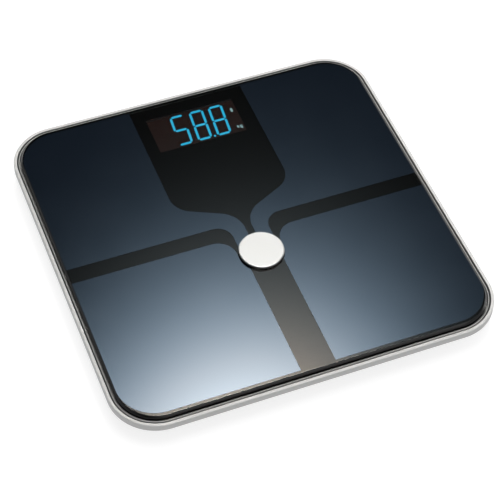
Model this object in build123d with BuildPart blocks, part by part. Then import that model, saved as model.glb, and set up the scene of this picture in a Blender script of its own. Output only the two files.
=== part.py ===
from build123d import *
import os
from math import radians, sqrt, tan

os.makedirs("parts", exist_ok=True)

# A glass-topped electronic bathroom scale, in millimetres. The origin is on the floor under the
# middle of the platform. +Z is up, +Y points to the edge with the display, and +X is to the right.

# Platform glass: a tempered square plate with bevelled edges
glass_size = 300.0
glass_thickness = 6.0
glass_corner_radius = 32.0
glass_bevel = 1.5

# Conductive film on the glass, and the bare channels that part it into four fields
film_thickness = 0.1
film_side_margin = 0.1
film_end_margin = 2.3
display_channel_width = 99.0
shoulder_y = 32.9
shoulder_radius = 20.0
neck_width = 6.0
neck_y = 10.9
neck_radius = 22.0
side_channel_rear_y = 4.0
side_channel_width = 14.2
side_channel_end_width = 3.4
side_channel_rear_radius = 13.0
side_channel_front_radius = 15.5
side_channel_overlap = 0.05
front_channel_width = 28.0

# Metal badge on the middle of the glass
badge_diameter = 36.0
badge_thickness = 2.6
badge_edge_radius = 0.8
badge_y = -30.4
badge_film_gap = 0.65
badge_glue_diameter = 31.0
badge_glue_thickness = 0.4

# Black print under the glass, with the window for the display
print_thickness = 0.13
ink_bond_line = 0.02
print_margin = 0.2
window_width = 76.0
window_height = 38.0
window_margin = 0.8
filter_thickness = 0.3
filter_gap = 0.1

# Bezel that the glass is taped to, and the brushed band round it
tape_thickness = 0.5
tape_width = 4.0
bezel_gap = 0.8
bezel_lip_width = 1.4
bezel_drop = 3.0
bezel_flange_thickness = 1.2
bezel_round = 0.65
flange_reach = 13.0
groove_width = 0.9
seal_depth = 0.4
seal_clearance = 0.1
rim_wall = 2.7
rim_drop = 2.6
rim_flange_thickness = 1.0
rim_outer_round = 0.8
rim_inner_round = 0.5

# Countersunk screws that hold both frames down on the tray
frame_screw_spread = 140.0
frame_screw_edge = 2.9
frame_screw_radius = 1.5
frame_screw_head_radius = 2.4
frame_screw_length = 6.5
countersink_angle = 90.0
screw_tip_gap = 0.5
frame_boss_radius = 3.5

# Base tray: a moulded pan with sloping sides
ground_clearance = 5.0
tray_floor = 2.0
tray_wall = 3.0
tray_slope_run = 16.0
tray_edge_radius = 1.5
label_recess_length = 90.0
label_recess_width = 36.0
label_recess_depth = 0.4
label_recess_y = -100.0
rib_length = 96.0
rib_thickness = 1.6
rib_height = 5.0
rib_y = -70.0
post_radius = 6.0
post_x = 62.0
post_board_gap = 19.2
pad_compression = 0.5

# Battery bay with its cells, contacts and hinged door
cell_diameter = 10.5
cell_length = 44.5
cell_count = 4
cell_gap = 0.5
cell_headroom = 0.3
cell_nub_radius = 1.9
cell_nub_length = 1.0
cell_edge_radius = 0.6
contact_room = 3.0
contact_sheet = 0.5
contact_width = 8.0
contact_height = 8.0
contact_dome_radius = 2.5
contact_gap = 0.05
leaf_width = 5.0
leaf_sheet = 0.4
tag_width = 3.0
tag_thickness = 0.6
tag_reach = 2.5
tag_clearance = 0.2
bay_front_y = -46.0
bay_wall = 2.0
bay_roof = 1.2
bay_glass_gap = 0.75
door_thickness = 1.8
door_gap = 0.4
knuckle_radius = 1.5
knuckle_cell_gap = 0.3
hinge_pin_radius = 1.0
hinge_pin_length = 1.6
hinge_pin_clearance = 0.08
hinge_end_gap = 0.1
latch_room = 1.9
latch_width = 16.0
latch_sheet = 1.2
latch_height = 3.0
thumb_notch_radius = 9.0
thumb_notch_depth = 1.1
grip_groove_count = 4
grip_groove_pitch = 3.0
grip_groove_width = 1.2
grip_groove_length = 20.0
grip_groove_depth = 0.4

# Main board, what is on it, and the display
board_width = 92.0
board_depth = 58.0
board_thickness = 1.6
board_standoff = 5.0
board_window_shift = 9.0
board_boss_radius = 3.0
board_screw_inset = 4.0
small_screw_radius = 1.25
small_screw_head_radius = 2.2
small_screw_head_height = 1.6
board_screw_length = 5.5
screw_clearance = 0.1
thread_clearance = 0.05
module_screw_gap = 0.8
module_margin = 1.0
display_gap = 0.3
segment_thickness = 0.4
digit_width = 12.5
digit_height = 33.2
digit_pitch = 17.0
digit_stroke = 1.9
digit_slant = 5.0
digit_first_x = -13.35
segment_gap = 0.5
point_size = 1.8
mark_x = 34.2
mark_width = 1.9
mark_height = 4.2
mark_rise = 7.4
unit_rise = -12.6
unit_letter_width = 1.3
unit_letter_height = 1.8
unit_stroke = 0.6
processor_size = 10.0
converter_size = 6.0
chip_height = 1.6
chip_row = 13.0
chip_edge_inset = 14.0
radio_width = 12.0
radio_depth = 11.0
radio_height = 2.4
connector_width = 8.0
connector_depth = 7.0
connector_setback = 0.8
floor_plug_gap = 0.4
connector_boss_gap = 1.0
connector_spacing = 2.0
top_connector_x = 19.0
top_connector_width = 13.0
top_connector_height = 4.5

# Unit button under the tray, and the switch that it presses
button_radius = 4.0
button_gap = 0.3
button_proud = 0.3
button_flange_radius = 5.5
button_flange = 0.8
button_travel = 0.8
button_board_y = 16.0
switch_size = 6.0
switch_stop_gap = 0.3
plunger_radius = 1.75
plunger_gap = 0.1
plunger_grip = 1.0

# Load cells, their clamps, and the feet that bear on them
foot_edge_distance = 26.2
load_cell_size = 34.0
load_cell_thickness = 1.5
load_cell_corner_radius = 3.0
load_cell_seat = 2.2
load_cell_slot_length = 24.0
load_cell_slot_width = 22.0
load_cell_tongue_width = 16.0
load_cell_tongue_end = 9.0
seat_block = 5.0
gauge_length = 10.0
gauge_width = 7.0
gauge_height = 1.6
gauge_offset = 11.0
clamp_width = 34.0
clamp_thickness = 1.8
clamp_opening = 24.0
clamp_corner_radius = 4.0
clamp_ear = 4.5
clamp_boss_radius = 3.0
clamp_boss_gap = 1.5
clamp_screw_length = 4.5
foot_radius = 18.0
foot_gap = 1.6
foot_edge_round = 0.8
foot_post_radius = 5.0
foot_post_gap = 0.6
foot_pad_radius = 15.0
foot_pad_thickness = 2.0
foot_pad_recess = 1.2
foot_pad_gap = 0.2
foot_pad_round = 0.5
foot_screw_radius = 1.5
foot_screw_head_radius = 2.8
foot_screw_head_height = 2.0
foot_screw_length = 6.0

# Leads inside the tray
load_lead_diameter = 1.8
battery_lead_diameter = 1.4
electrode_lead_diameter = 1.2
bend_share = 0.45
lead_floor_gap = 0.05
lead_tab_gap = 0.05
front_lane_end = 36.0
front_lead_run_in = 23.0
rear_lane_gap = 12.0
rear_lane_end = 13.0
rear_lead_run_in = 14.0
battery_lane_offset = 9.0
battery_lane_length = 32.0
battery_lead_run_in = 30.0
front_tab_run = 40.0
front_tab_slant_x = 62.0
front_tab_slant_y = 42.0
front_dip_start = 30.0
front_dip_end = 12.0
rear_tab_run = 30.0
rear_dip_start = 26.0
rear_dip_end = 10.0
electrode_tab_size = 10.0
electrode_tab_thickness = 0.1
electrode_tab_inset = 50.0
tab_post_gap = 20.0
electrode_tab_front_y = -30.0

# Heights, worked out from the floor upwards
tray_bottom = ground_clearance
floor_top = tray_bottom + tray_floor
cell_z = tray_bottom + door_thickness + cell_headroom + cell_diameter / 2
bay_ceiling = cell_z + cell_diameter / 2 + cell_headroom
print_bottom = bay_ceiling + bay_roof + bay_glass_gap
glass_bottom = print_bottom + print_thickness + ink_bond_line
glass_top = glass_bottom + glass_thickness
badge_bottom = glass_top + badge_glue_thickness
bezel_flange_top = print_bottom - tape_thickness
bezel_flange_bottom = bezel_flange_top - bezel_flange_thickness
bezel_top = glass_top - bezel_drop
rim_bottom = bezel_flange_bottom - rim_flange_thickness
rim_top = glass_top - rim_drop
tray_top = rim_bottom
board_bottom = floor_top + board_standoff
board_top = board_bottom + board_thickness
display_top = glass_bottom - ink_bond_line - filter_thickness - display_gap
module_top = display_top - segment_thickness
load_cell_bottom = floor_top + load_cell_seat
load_cell_top = load_cell_bottom + load_cell_thickness
clamp_top = load_cell_top + clamp_thickness
foot_plate_bottom = foot_pad_thickness - foot_pad_recess
foot_plate_top = tray_bottom - foot_gap
lead_z = floor_top + lead_floor_gap + load_lead_diameter / 2
hinge_z = tray_bottom + knuckle_radius

# Plan positions
glass_half = glass_size / 2
bezel_outer = bezel_gap + bezel_lip_width
rim_inner = bezel_outer + groove_width
rim_outer = rim_inner + rim_wall
tray_top_growth = bezel_outer
tray_bottom_growth = tray_top_growth - tray_slope_run
tray_floor_growth = tray_bottom_growth + tray_slope_run * tray_floor / (tray_top - tray_bottom)
foot_reach = glass_half + tray_bottom_growth - foot_edge_distance
frame_screw_line = glass_half - flange_reach + frame_screw_edge
window_y = glass_half - flange_reach - window_margin - window_height / 2
board_y = window_y - board_window_shift
board_front = board_y - board_depth / 2
connector_front = board_front + connector_setback
board_screw_x = board_width / 2 - board_screw_inset
module_width = 2 * (board_screw_x - small_screw_head_radius - module_screw_gap)
outer_connector_x = board_screw_x - board_boss_radius - connector_boss_gap - connector_width / 2
inner_connector_x = outer_connector_x - connector_width - connector_spacing
chip_side_x = board_width / 2 - chip_edge_inset
post_y = board_front - post_board_gap
electrode_tab_rear_y = post_y - tab_post_gap
button_y = board_front + button_board_y
hinge_y = bay_front_y + door_gap + knuckle_radius
cell_hinge_reach = knuckle_radius + cell_diameter / 2 + knuckle_cell_gap
first_cell_y = hinge_y + sqrt(cell_hinge_reach**2 - (cell_z - hinge_z) ** 2)
cell_pitch = cell_diameter + cell_gap
cell_rows = [first_cell_y + row * cell_pitch for row in range(cell_count)]
plus_sides = [1 if row % 2 == 0 else -1 for row in range(cell_count)]
bay_rear_y = cell_rows[-1] + cell_diameter / 2 + latch_room
bay_length = cell_length + 2 * contact_room
bay_width = bay_rear_y - bay_front_y
bay_y = (bay_front_y + bay_rear_y) / 2
film_side_inset = glass_bevel + film_side_margin
film_width = glass_size - 2 * film_side_inset
film_depth = glass_size - 2 * (glass_bevel + film_end_margin)
film_corner_radius = glass_corner_radius - film_side_inset
film_cut_radius = badge_diameter / 2 + badge_film_gap

corners = {
    "rear_left": (-1, 1),
    "rear_right": (1, 1),
    "front_left": (-1, -1),
    "front_right": (1, -1),
}
feet = {name: (x * foot_reach, y * foot_reach) for name, (x, y) in corners.items()}
frame_screw_points = [
    point
    for side in (-1, 1)
    for along in (-frame_screw_spread / 2, frame_screw_spread / 2)
    for point in ((along, side * frame_screw_line), (side * frame_screw_line, along))
]
post_points = [(x * post_x, y * post_y) for x, y in corners.values()]
board_screw_points = [
    (x * board_screw_x, board_y + y * (board_depth / 2 - board_screw_inset))
    for x, y in corners.values()
]
clamp_screw_reach = load_cell_size / 2 + clamp_boss_gap + clamp_boss_radius
clamp_screw_points = [(x, y + end * clamp_screw_reach) for x, y in feet.values() for end in (-1, 1)]

upright = (Align.CENTER, Align.CENTER, Align.MIN)


def platform_outline(growth, mode=Mode.ADD):
    """Rounded square that follows the glass outline, moved outwards by growth."""
    size = glass_size + 2 * growth
    return RectangleRounded(size, size, glass_corner_radius + growth, mode=mode)


def at_height(points, height):
    """The same plan points, lifted to one height."""
    return [(x, y, height) for x, y in points]


def bend_radii(points):
    """Radius for each corner of a lead: as large as its two runs allow."""
    radii = []
    for before, corner, after in zip(points, points[1:], points[2:]):
        run_in = Vector(*corner) - Vector(*before)
        run_out = Vector(*after) - Vector(*corner)
        shorter = min(run_in.length, run_out.length)
        radii.append(bend_share * shorter / tan(radians(run_in.get_angle(run_out) / 2)))
    return radii


# Glass plate: both arrises are bevelled
with BuildPart() as glass_plate:
    with BuildSketch(Plane.XY.offset(glass_bottom)):
        platform_outline(0)
    extrude(amount=glass_thickness)
    chamfer(glass_plate.faces().filter_by(Axis.Z).edges(), glass_bevel)
glass_plate.part.label = "glass_plate"
export_step(glass_plate.part, "parts/glass_plate.step")

# Bare channels of the film: a block behind the display that narrows to a neck at the badge,
# two arms that bend down to the badge, and a straight channel to the front edge
with BuildSketch() as display_channel:
    with BuildLine():
        block_side = FilletPolyline(
            (-display_channel_width / 2, glass_half),
            (-display_channel_width / 2, shoulder_y),
            (-neck_width / 2, neck_y),
            (-neck_width / 2, badge_y),
            radius=[shoulder_radius, neck_radius],
        )
        mirror(block_side, about=Plane.YZ)
        Line((-display_channel_width / 2, glass_half), (display_channel_width / 2, glass_half))
        Line((-neck_width / 2, badge_y), (neck_width / 2, badge_y))
    make_face()

side_channel_outer = film_cut_radius - side_channel_overlap
side_channel_inner = side_channel_outer - side_channel_end_width
side_channel_front_y = side_channel_rear_y - side_channel_width
with BuildSketch() as side_channels:
    with BuildLine():
        arm_rear = FilletPolyline(
            (-glass_half, side_channel_rear_y),
            (-side_channel_inner, side_channel_rear_y),
            (-side_channel_inner, badge_y),
            radius=side_channel_rear_radius,
        )
        arm_front = FilletPolyline(
            (-glass_half, side_channel_front_y),
            (-side_channel_outer, side_channel_front_y),
            (-side_channel_outer, badge_y),
            radius=side_channel_front_radius,
        )
        Line(arm_rear @ 0, arm_front @ 0)
        Line(arm_rear @ 1, arm_front @ 1)
    make_face()
    mirror(about=Plane.YZ)

with BuildSketch(Plane.XY.offset(glass_top)) as film_fields:
    RectangleRounded(film_width, film_depth, film_corner_radius)
    add(display_channel.sketch, mode=Mode.SUBTRACT)
    add(side_channels.sketch, mode=Mode.SUBTRACT)
    with Locations((0, (badge_y - glass_half) / 2)):
        Rectangle(front_channel_width, badge_y + glass_half, mode=Mode.SUBTRACT)
    with Locations((0, badge_y)):
        Circle(film_cut_radius, mode=Mode.SUBTRACT)

# Four electrode films, one for each field
for field in film_fields.sketch.faces():
    row = "rear" if field.center().Y > 0 else "front"
    side = "left" if field.center().X < 0 else "right"
    with BuildPart() as electrode_film:
        extrude(field, amount=film_thickness)
    electrode_film.part.label = f"electrode_film_{row}_{side}"
    export_step(electrode_film.part, f"parts/electrode_film_{row}_{side}.step")

# Badge glue and the bare metal badge
with BuildPart() as badge_adhesive:
    with BuildSketch(Plane.XY.offset(glass_top)):
        with Locations((0, badge_y)):
            Circle(badge_glue_diameter / 2)
    extrude(amount=badge_glue_thickness)
badge_adhesive.part.label = "badge_adhesive"
export_step(badge_adhesive.part, "parts/badge_adhesive.step")

with BuildPart() as centre_badge:
    with BuildSketch(Plane.XY.offset(badge_bottom)):
        with Locations((0, badge_y)):
            Circle(badge_diameter / 2)
    extrude(amount=badge_thickness)
    fillet(centre_badge.faces().sort_by(Axis.Z)[-1].edges(), badge_edge_radius)
centre_badge.part.label = "centre_badge"
export_step(centre_badge.part, "parts/centre_badge.step")

# Black print under the glass, open at the display window
with BuildPart() as back_print:
    with BuildSketch(Plane.XY.offset(print_bottom)):
        platform_outline(-glass_bevel - print_margin)
        with Locations((0, window_y)):
            Rectangle(window_width, window_height, mode=Mode.SUBTRACT)
    extrude(amount=print_thickness)
back_print.part.label = "back_print"
export_step(back_print.part, "parts/back_print.step")

# Tinted filter in the window
with BuildPart() as display_filter:
    with BuildSketch(Plane.XY.offset(glass_bottom - ink_bond_line - filter_thickness)):
        with Locations((0, window_y)):
            Rectangle(window_width - 2 * filter_gap, window_height - 2 * filter_gap)
    extrude(amount=filter_thickness)
display_filter.part.label = "display_filter"
export_step(display_filter.part, "parts/display_filter.step")

# Foam tape between the print and the bezel
tape_outer_growth = -glass_bevel - print_margin
with BuildPart() as glass_tape:
    with BuildSketch(Plane.XY.offset(bezel_flange_top)):
        platform_outline(tape_outer_growth)
        platform_outline(tape_outer_growth - tape_width, mode=Mode.SUBTRACT)
    extrude(amount=tape_thickness)
glass_tape.part.label = "glass_tape"
export_step(glass_tape.part, "parts/glass_tape.step")

# Bezel: a flange under the glass and a polished lip round its edge
with BuildPart() as bezel_ring:
    with BuildSketch(Plane.XY.offset(bezel_flange_bottom)):
        platform_outline(bezel_outer)
        platform_outline(-flange_reach, mode=Mode.SUBTRACT)
    extrude(amount=bezel_flange_thickness)
    with BuildSketch(Plane.XY.offset(bezel_flange_top)):
        platform_outline(bezel_outer)
        platform_outline(bezel_gap, mode=Mode.SUBTRACT)
    extrude(amount=bezel_top - bezel_flange_top)
    fillet(bezel_ring.faces().sort_by(Axis.Z)[-1].edges(), bezel_round)
    with Locations(*at_height(frame_screw_points, bezel_flange_top)):
        CounterSinkHole(
            frame_screw_radius + screw_clearance,
            frame_screw_head_radius + screw_clearance,
            depth=bezel_flange_thickness,
            counter_sink_angle=countersink_angle,
        )
bezel_ring.part.label = "bezel_ring"
export_step(bezel_ring.part, "parts/bezel_ring.step")

# Rim band: a brushed wall with a flange that is screwed down with the bezel's
with BuildPart() as rim_band:
    with BuildSketch(Plane.XY.offset(rim_bottom)):
        platform_outline(rim_outer)
        platform_outline(-flange_reach, mode=Mode.SUBTRACT)
    extrude(amount=rim_flange_thickness)
    with BuildSketch(Plane.XY.offset(bezel_flange_bottom)):
        platform_outline(rim_outer)
        platform_outline(rim_inner, mode=Mode.SUBTRACT)
    extrude(amount=rim_top - bezel_flange_bottom)
    rim_crown = rim_band.faces().sort_by(Axis.Z)[-1]
    fillet(rim_crown.outer_wire().edges(), rim_outer_round)
    rim_crown = rim_band.faces().sort_by(Axis.Z)[-1]
    fillet(rim_crown.inner_wires()[0].edges(), rim_inner_round)
    with Locations(*at_height(frame_screw_points, bezel_flange_bottom)):
        Hole(frame_screw_radius + screw_clearance, depth=rim_flange_thickness)
rim_band.part.label = "rim_band"
export_step(rim_band.part, "parts/rim_band.step")

# Grey silicone seal at the foot of the groove between bezel and rim
with BuildPart() as rim_seal:
    with BuildSketch(Plane.XY.offset(bezel_flange_bottom)):
        platform_outline(rim_inner - seal_clearance)
        platform_outline(bezel_outer + seal_clearance, mode=Mode.SUBTRACT)
    extrude(amount=bezel_top - seal_depth - bezel_flange_bottom)
rim_seal.part.label = "rim_seal"
export_step(rim_seal.part, "parts/rim_seal.step")

# Countersunk screws through both flanges into the tray
frame_screw_cone = (frame_screw_head_radius - frame_screw_radius) / tan(radians(countersink_angle / 2))
with BuildPart() as frame_screws:
    with Locations(*at_height(frame_screw_points, bezel_flange_top - frame_screw_length)):
        Cylinder(frame_screw_radius, frame_screw_length, align=upright)
    with Locations(*at_height(frame_screw_points, bezel_flange_top - frame_screw_cone)):
        Cone(frame_screw_radius, frame_screw_head_radius, frame_screw_cone, align=upright)
frame_screws.part.label = "frame_screws"
export_step(frame_screws.part, "parts/frame_screws.step")

# The tray's inside, with everything that stands up from its floor left standing
with BuildPart() as tray_cavity:
    with BuildSketch(Plane.XY.offset(floor_top)):
        platform_outline(tray_floor_growth - tray_wall)
    with BuildSketch(Plane.XY.offset(tray_top)):
        platform_outline(tray_top_growth - tray_wall)
    loft(ruled=True)
    with Locations(*at_height(frame_screw_points, floor_top)):
        Cylinder(frame_boss_radius, tray_top - floor_top, align=upright, mode=Mode.SUBTRACT)
    with Locations(*at_height(board_screw_points, floor_top)):
        Cylinder(board_boss_radius, board_standoff, align=upright, mode=Mode.SUBTRACT)
    with Locations(*at_height(clamp_screw_points, floor_top)):
        Cylinder(clamp_boss_radius, load_cell_top - floor_top, align=upright, mode=Mode.SUBTRACT)
    seat_reach = load_cell_size - seat_block
    for foot_x, foot_y in feet.values():
        with Locations((foot_x, foot_y, floor_top)):
            with GridLocations(seat_reach, seat_reach, 2, 2):
                Box(seat_block, seat_block, load_cell_seat, align=upright, mode=Mode.SUBTRACT)
    with Locations((0, rib_y, floor_top)):
        Box(rib_length, rib_thickness, rib_height, align=upright, mode=Mode.SUBTRACT)

# Base tray
with BuildPart() as base_tray:
    with BuildSketch(Plane.XY.offset(tray_bottom)):
        platform_outline(tray_bottom_growth)
    with BuildSketch(Plane.XY.offset(tray_top)):
        platform_outline(tray_top_growth)
    loft(ruled=True)
    fillet(base_tray.faces().sort_by(Axis.Z)[0].edges(), tray_edge_radius)
    add(tray_cavity.part, mode=Mode.SUBTRACT)
    # Posts that carry the middle of the glass, and the battery bay's box
    with Locations(*at_height(post_points, floor_top)):
        Cylinder(post_radius, print_bottom - pad_compression - floor_top, align=upright)
    with Locations((0, bay_y, floor_top)):
        Box(
            bay_length + 2 * bay_wall,
            bay_width + 2 * bay_wall,
            bay_ceiling + bay_roof - floor_top,
            align=upright,
        )
    with Locations((0, bay_y, tray_bottom)):
        Box(bay_length, bay_width, bay_ceiling - tray_bottom, align=upright, mode=Mode.SUBTRACT)
    # Sockets of the door's hinge pins, the thumb notch and the slots for the battery tags
    with BuildSketch(Plane.YZ.offset(-bay_length / 2 - hinge_pin_length + door_gap - hinge_end_gap)):
        with Locations((hinge_y, hinge_z)):
            Circle(hinge_pin_radius + hinge_pin_clearance)
    extrude(amount=bay_length + 2 * (hinge_pin_length - door_gap + hinge_end_gap), mode=Mode.SUBTRACT)
    with Locations((0, bay_rear_y, tray_bottom)):
        Cylinder(thumb_notch_radius, thumb_notch_depth, align=upright, mode=Mode.SUBTRACT)
    with Locations((0, cell_rows[-1], lead_z)):
        Box(
            bay_length + 2 * bay_wall,
            tag_width + 2 * tag_clearance,
            tag_thickness + 2 * tag_clearance,
            mode=Mode.SUBTRACT,
        )
    # Holes for screws, feet and button, and a shallow place for a label
    frame_screw_grip = frame_screw_length - bezel_flange_thickness - rim_flange_thickness
    with Locations(*at_height(frame_screw_points, tray_top)):
        Hole(frame_screw_radius + thread_clearance, depth=frame_screw_grip + screw_tip_gap)
    with Locations(*at_height(board_screw_points, board_bottom)):
        Hole(
            small_screw_radius + thread_clearance,
            depth=board_screw_length - board_thickness + screw_tip_gap,
        )
    with Locations(*at_height(clamp_screw_points, load_cell_top)):
        Hole(
            small_screw_radius + thread_clearance,
            depth=clamp_screw_length - clamp_thickness + screw_tip_gap,
        )
    with Locations(*at_height(feet.values(), floor_top)):
        Hole(foot_post_radius + foot_post_gap, depth=tray_floor)
    with Locations((0, button_y, floor_top)):
        Hole(button_radius + button_gap, depth=tray_floor)
    with Locations((0, label_recess_y, tray_bottom)):
        Box(
            label_recess_length,
            label_recess_width,
            label_recess_depth,
            align=upright,
            mode=Mode.SUBTRACT,
        )
base_tray.part.label = "base_tray"
export_step(base_tray.part, "parts/base_tray.step")

# Foam pads between the posts and the print
with BuildPart() as glass_support_pads:
    with Locations(*at_height(post_points, print_bottom - pad_compression)):
        Cylinder(post_radius, pad_compression, align=upright)
glass_support_pads.part.label = "glass_support_pads"
export_step(glass_support_pads.part, "parts/glass_support_pads.step")

# Battery door: a panel with a round knuckle, two stub pins and a latch tongue
door_length = bay_length - 2 * door_gap
door_far_y = bay_rear_y - door_gap
with BuildPart() as battery_door:
    with BuildSketch(Plane.YZ.offset(-door_length / 2)):
        with Locations((hinge_y, hinge_z)):
            Circle(knuckle_radius)
        with Locations(((hinge_y + door_far_y) / 2, tray_bottom + door_thickness / 2)):
            Rectangle(door_far_y - hinge_y, door_thickness)
    extrude(amount=door_length)
    with BuildSketch(Plane.YZ.offset(-door_length / 2 - hinge_pin_length)):
        with Locations((hinge_y, hinge_z)):
            Circle(hinge_pin_radius)
    extrude(amount=door_length + 2 * hinge_pin_length)
    with Locations((0, door_far_y - latch_sheet / 2, tray_bottom + door_thickness)):
        Box(latch_width, latch_sheet, latch_height, align=upright)
    with Locations((0, bay_rear_y, tray_bottom)):
        Cylinder(thumb_notch_radius, thumb_notch_depth, align=upright, mode=Mode.SUBTRACT)
    grip_y = door_far_y - thumb_notch_radius - grip_groove_count * grip_groove_pitch / 2
    with Locations((0, grip_y, tray_bottom)):
        with GridLocations(grip_groove_length, grip_groove_pitch, 1, grip_groove_count):
            Box(
                grip_groove_length,
                grip_groove_width,
                grip_groove_depth,
                align=upright,
                mode=Mode.SUBTRACT,
            )
battery_door.part.label = "battery_door"
export_step(battery_door.part, "parts/battery_door.step")

# Battery cells, turned end for end in turn
for number, (cell_y, plus_side) in enumerate(zip(cell_rows, plus_sides), start=1):
    with BuildPart() as battery_cell:
        with BuildSketch(Plane.YZ.offset(-plus_side * cell_length / 2)):
            with Locations((cell_y, cell_z)):
                Circle(cell_diameter / 2)
        extrude(amount=plus_side * (cell_length - cell_nub_length))
        fillet(battery_cell.edges().filter_by(GeomType.CIRCLE), cell_edge_radius)
        with BuildSketch(Plane.YZ.offset(plus_side * (cell_length / 2 - cell_nub_length))):
            with Locations((cell_y, cell_z)):
                Circle(cell_nub_radius)
        extrude(amount=plus_side * cell_nub_length)
    battery_cell.part.label = f"battery_cell_{number}"
    export_step(battery_cell.part, f"parts/battery_cell_{number}.step")

# Contact plates at the ends of the bay: domed for the plus ends, bent leaves for the minus ends.
# The last cell's two plates have a tag through the bay's wall for the battery leads.
plate_bottom = cell_z - contact_height / 2
wall_x = bay_length / 2
tag_length = bay_wall + tag_reach
tag_leg = plate_bottom - lead_z + tag_thickness / 2
tag_y = cell_rows[-1]
tag_side = plus_sides[-1]

with BuildPart() as battery_plus_contacts:
    for cell_y, plus_side in zip(cell_rows, plus_sides):
        with Locations((plus_side * (wall_x - contact_sheet / 2), cell_y, plate_bottom)):
            Box(contact_sheet, contact_width, contact_height, align=upright)
        with BuildSketch(Plane.YZ.offset(plus_side * (wall_x - contact_sheet))):
            with Locations((cell_y, cell_z)):
                Circle(contact_dome_radius)
        extrude(amount=-plus_side * (contact_room - contact_sheet - contact_gap))
    with Locations((tag_side * (wall_x - contact_sheet / 2), tag_y, plate_bottom - tag_leg)):
        Box(contact_sheet, tag_width, tag_leg, align=upright)
    with Locations((tag_side * (wall_x + tag_length / 2), tag_y, lead_z)):
        Box(tag_length, tag_width, tag_thickness)
battery_plus_contacts.part.label = "battery_plus_contacts"
export_step(battery_plus_contacts.part, "parts/battery_plus_contacts.step")

leaf_tip = cell_length / 2 + contact_gap + leaf_sheet
leaf_root = wall_x - contact_sheet / 2
with BuildPart() as battery_minus_contacts:
    for cell_y, plus_side in zip(cell_rows, plus_sides):
        with Locations((-plus_side * (wall_x - contact_sheet / 2), cell_y, plate_bottom)):
            Box(contact_sheet, contact_width, contact_height, align=upright)
        with BuildSketch(Plane.XZ.offset(-cell_y - leaf_width / 2)):
            with BuildLine():
                Polyline(
                    (-plus_side * leaf_root, cell_z + contact_height / 2 - leaf_sheet),
                    (-plus_side * leaf_tip, cell_z + leaf_sheet),
                    (-plus_side * leaf_tip, cell_z - leaf_sheet),
                    (-plus_side * leaf_root, cell_z - contact_height / 2 + leaf_sheet),
                )
            trace(line_width=leaf_sheet)
        extrude(amount=leaf_width)
    with Locations((-tag_side * (wall_x - contact_sheet / 2), tag_y, plate_bottom - tag_leg)):
        Box(contact_sheet, tag_width, tag_leg, align=upright)
    with Locations((-tag_side * (wall_x + tag_length / 2), tag_y, lead_z)):
        Box(tag_length, tag_width, tag_thickness)
battery_minus_contacts.part.label = "battery_minus_contacts"
export_step(battery_minus_contacts.part, "parts/battery_minus_contacts.step")

# Main board on its four bosses
with BuildPart() as main_board:
    with BuildSketch(Plane.XY.offset(board_bottom)):
        with Locations((0, board_y)):
            Rectangle(board_width, board_depth)
    extrude(amount=board_thickness)
    with Locations(*at_height(board_screw_points, board_top)):
        Hole(small_screw_radius + screw_clearance, depth=board_thickness)
main_board.part.label = "main_board"
export_step(main_board.part, "parts/main_board.step")

with BuildPart() as board_screws:
    with Locations(*at_height(board_screw_points, board_top - board_screw_length)):
        Cylinder(small_screw_radius, board_screw_length, align=upright)
    with Locations(*at_height(board_screw_points, board_top)):
        Cylinder(small_screw_head_radius, small_screw_head_height, align=upright)
board_screws.part.label = "board_screws"
export_step(board_screws.part, "parts/board_screws.step")

# Chips and the shielded radio on the board's front strip
chip_y = board_front + chip_row
with BuildPart() as board_chips:
    with Locations((0, chip_y, board_top)):
        Box(processor_size, processor_size, chip_height, align=upright)
    with Locations((-chip_side_x, chip_y, board_top)):
        Box(converter_size, converter_size, chip_height, align=upright)
board_chips.part.label = "board_chips"
export_step(board_chips.part, "parts/board_chips.step")

with BuildPart() as wireless_module:
    with Locations((chip_side_x, chip_y, board_top)):
        Box(radio_width, radio_depth, radio_height, align=upright)
wireless_module.part.label = "wireless_module"
export_step(wireless_module.part, "parts/wireless_module.step")

# Plug housings: five hang under the front edge of the board, two stand on it
floor_plug_xs = [-outer_connector_x, -inner_connector_x, 0, inner_connector_x, outer_connector_x]
floor_plug_height = board_standoff - floor_plug_gap
connector_y = connector_front + connector_depth / 2
with BuildPart() as board_connectors:
    with Locations(*[(x, connector_y, floor_top + floor_plug_gap) for x in floor_plug_xs]):
        Box(connector_width, connector_depth, floor_plug_height, align=upright)
    with Locations((-top_connector_x, connector_y, board_top), (top_connector_x, connector_y, board_top)):
        Box(top_connector_width, connector_depth, top_connector_height, align=upright)
board_connectors.part.label = "board_connectors"
export_step(board_connectors.part, "parts/board_connectors.step")

# Display module on the board, just below the window
module_depth = window_height - 2 * module_margin
with BuildPart() as display_module:
    with BuildSketch(Plane.XY.offset(board_top)):
        with Locations((0, window_y)):
            Rectangle(module_width, module_depth)
    extrude(amount=module_top - board_top)
display_module.part.label = "display_module"
export_step(display_module.part, "parts/display_module.step")

# Lit segments: three slanted digits, a decimal point, a plain bar and the unit's two letters
segment_ends = {
    "top": ((-1, 1), (1, 1)),
    "upper_left": ((-1, 1), (-1, 0)),
    "upper_right": ((1, 1), (1, 0)),
    "middle": ((-1, 0), (1, 0)),
    "lower_left": ((-1, 0), (-1, -1)),
    "lower_right": ((1, 0), (1, -1)),
    "bottom": ((-1, -1), (1, -1)),
}
five = [name for name in segment_ends if name not in ("upper_right", "lower_left")]
eight = list(segment_ends)
digit_half_width = (digit_width - digit_stroke) / 2
digit_half_height = (digit_height - digit_stroke) / 2
slant = tan(radians(digit_slant))


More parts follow.
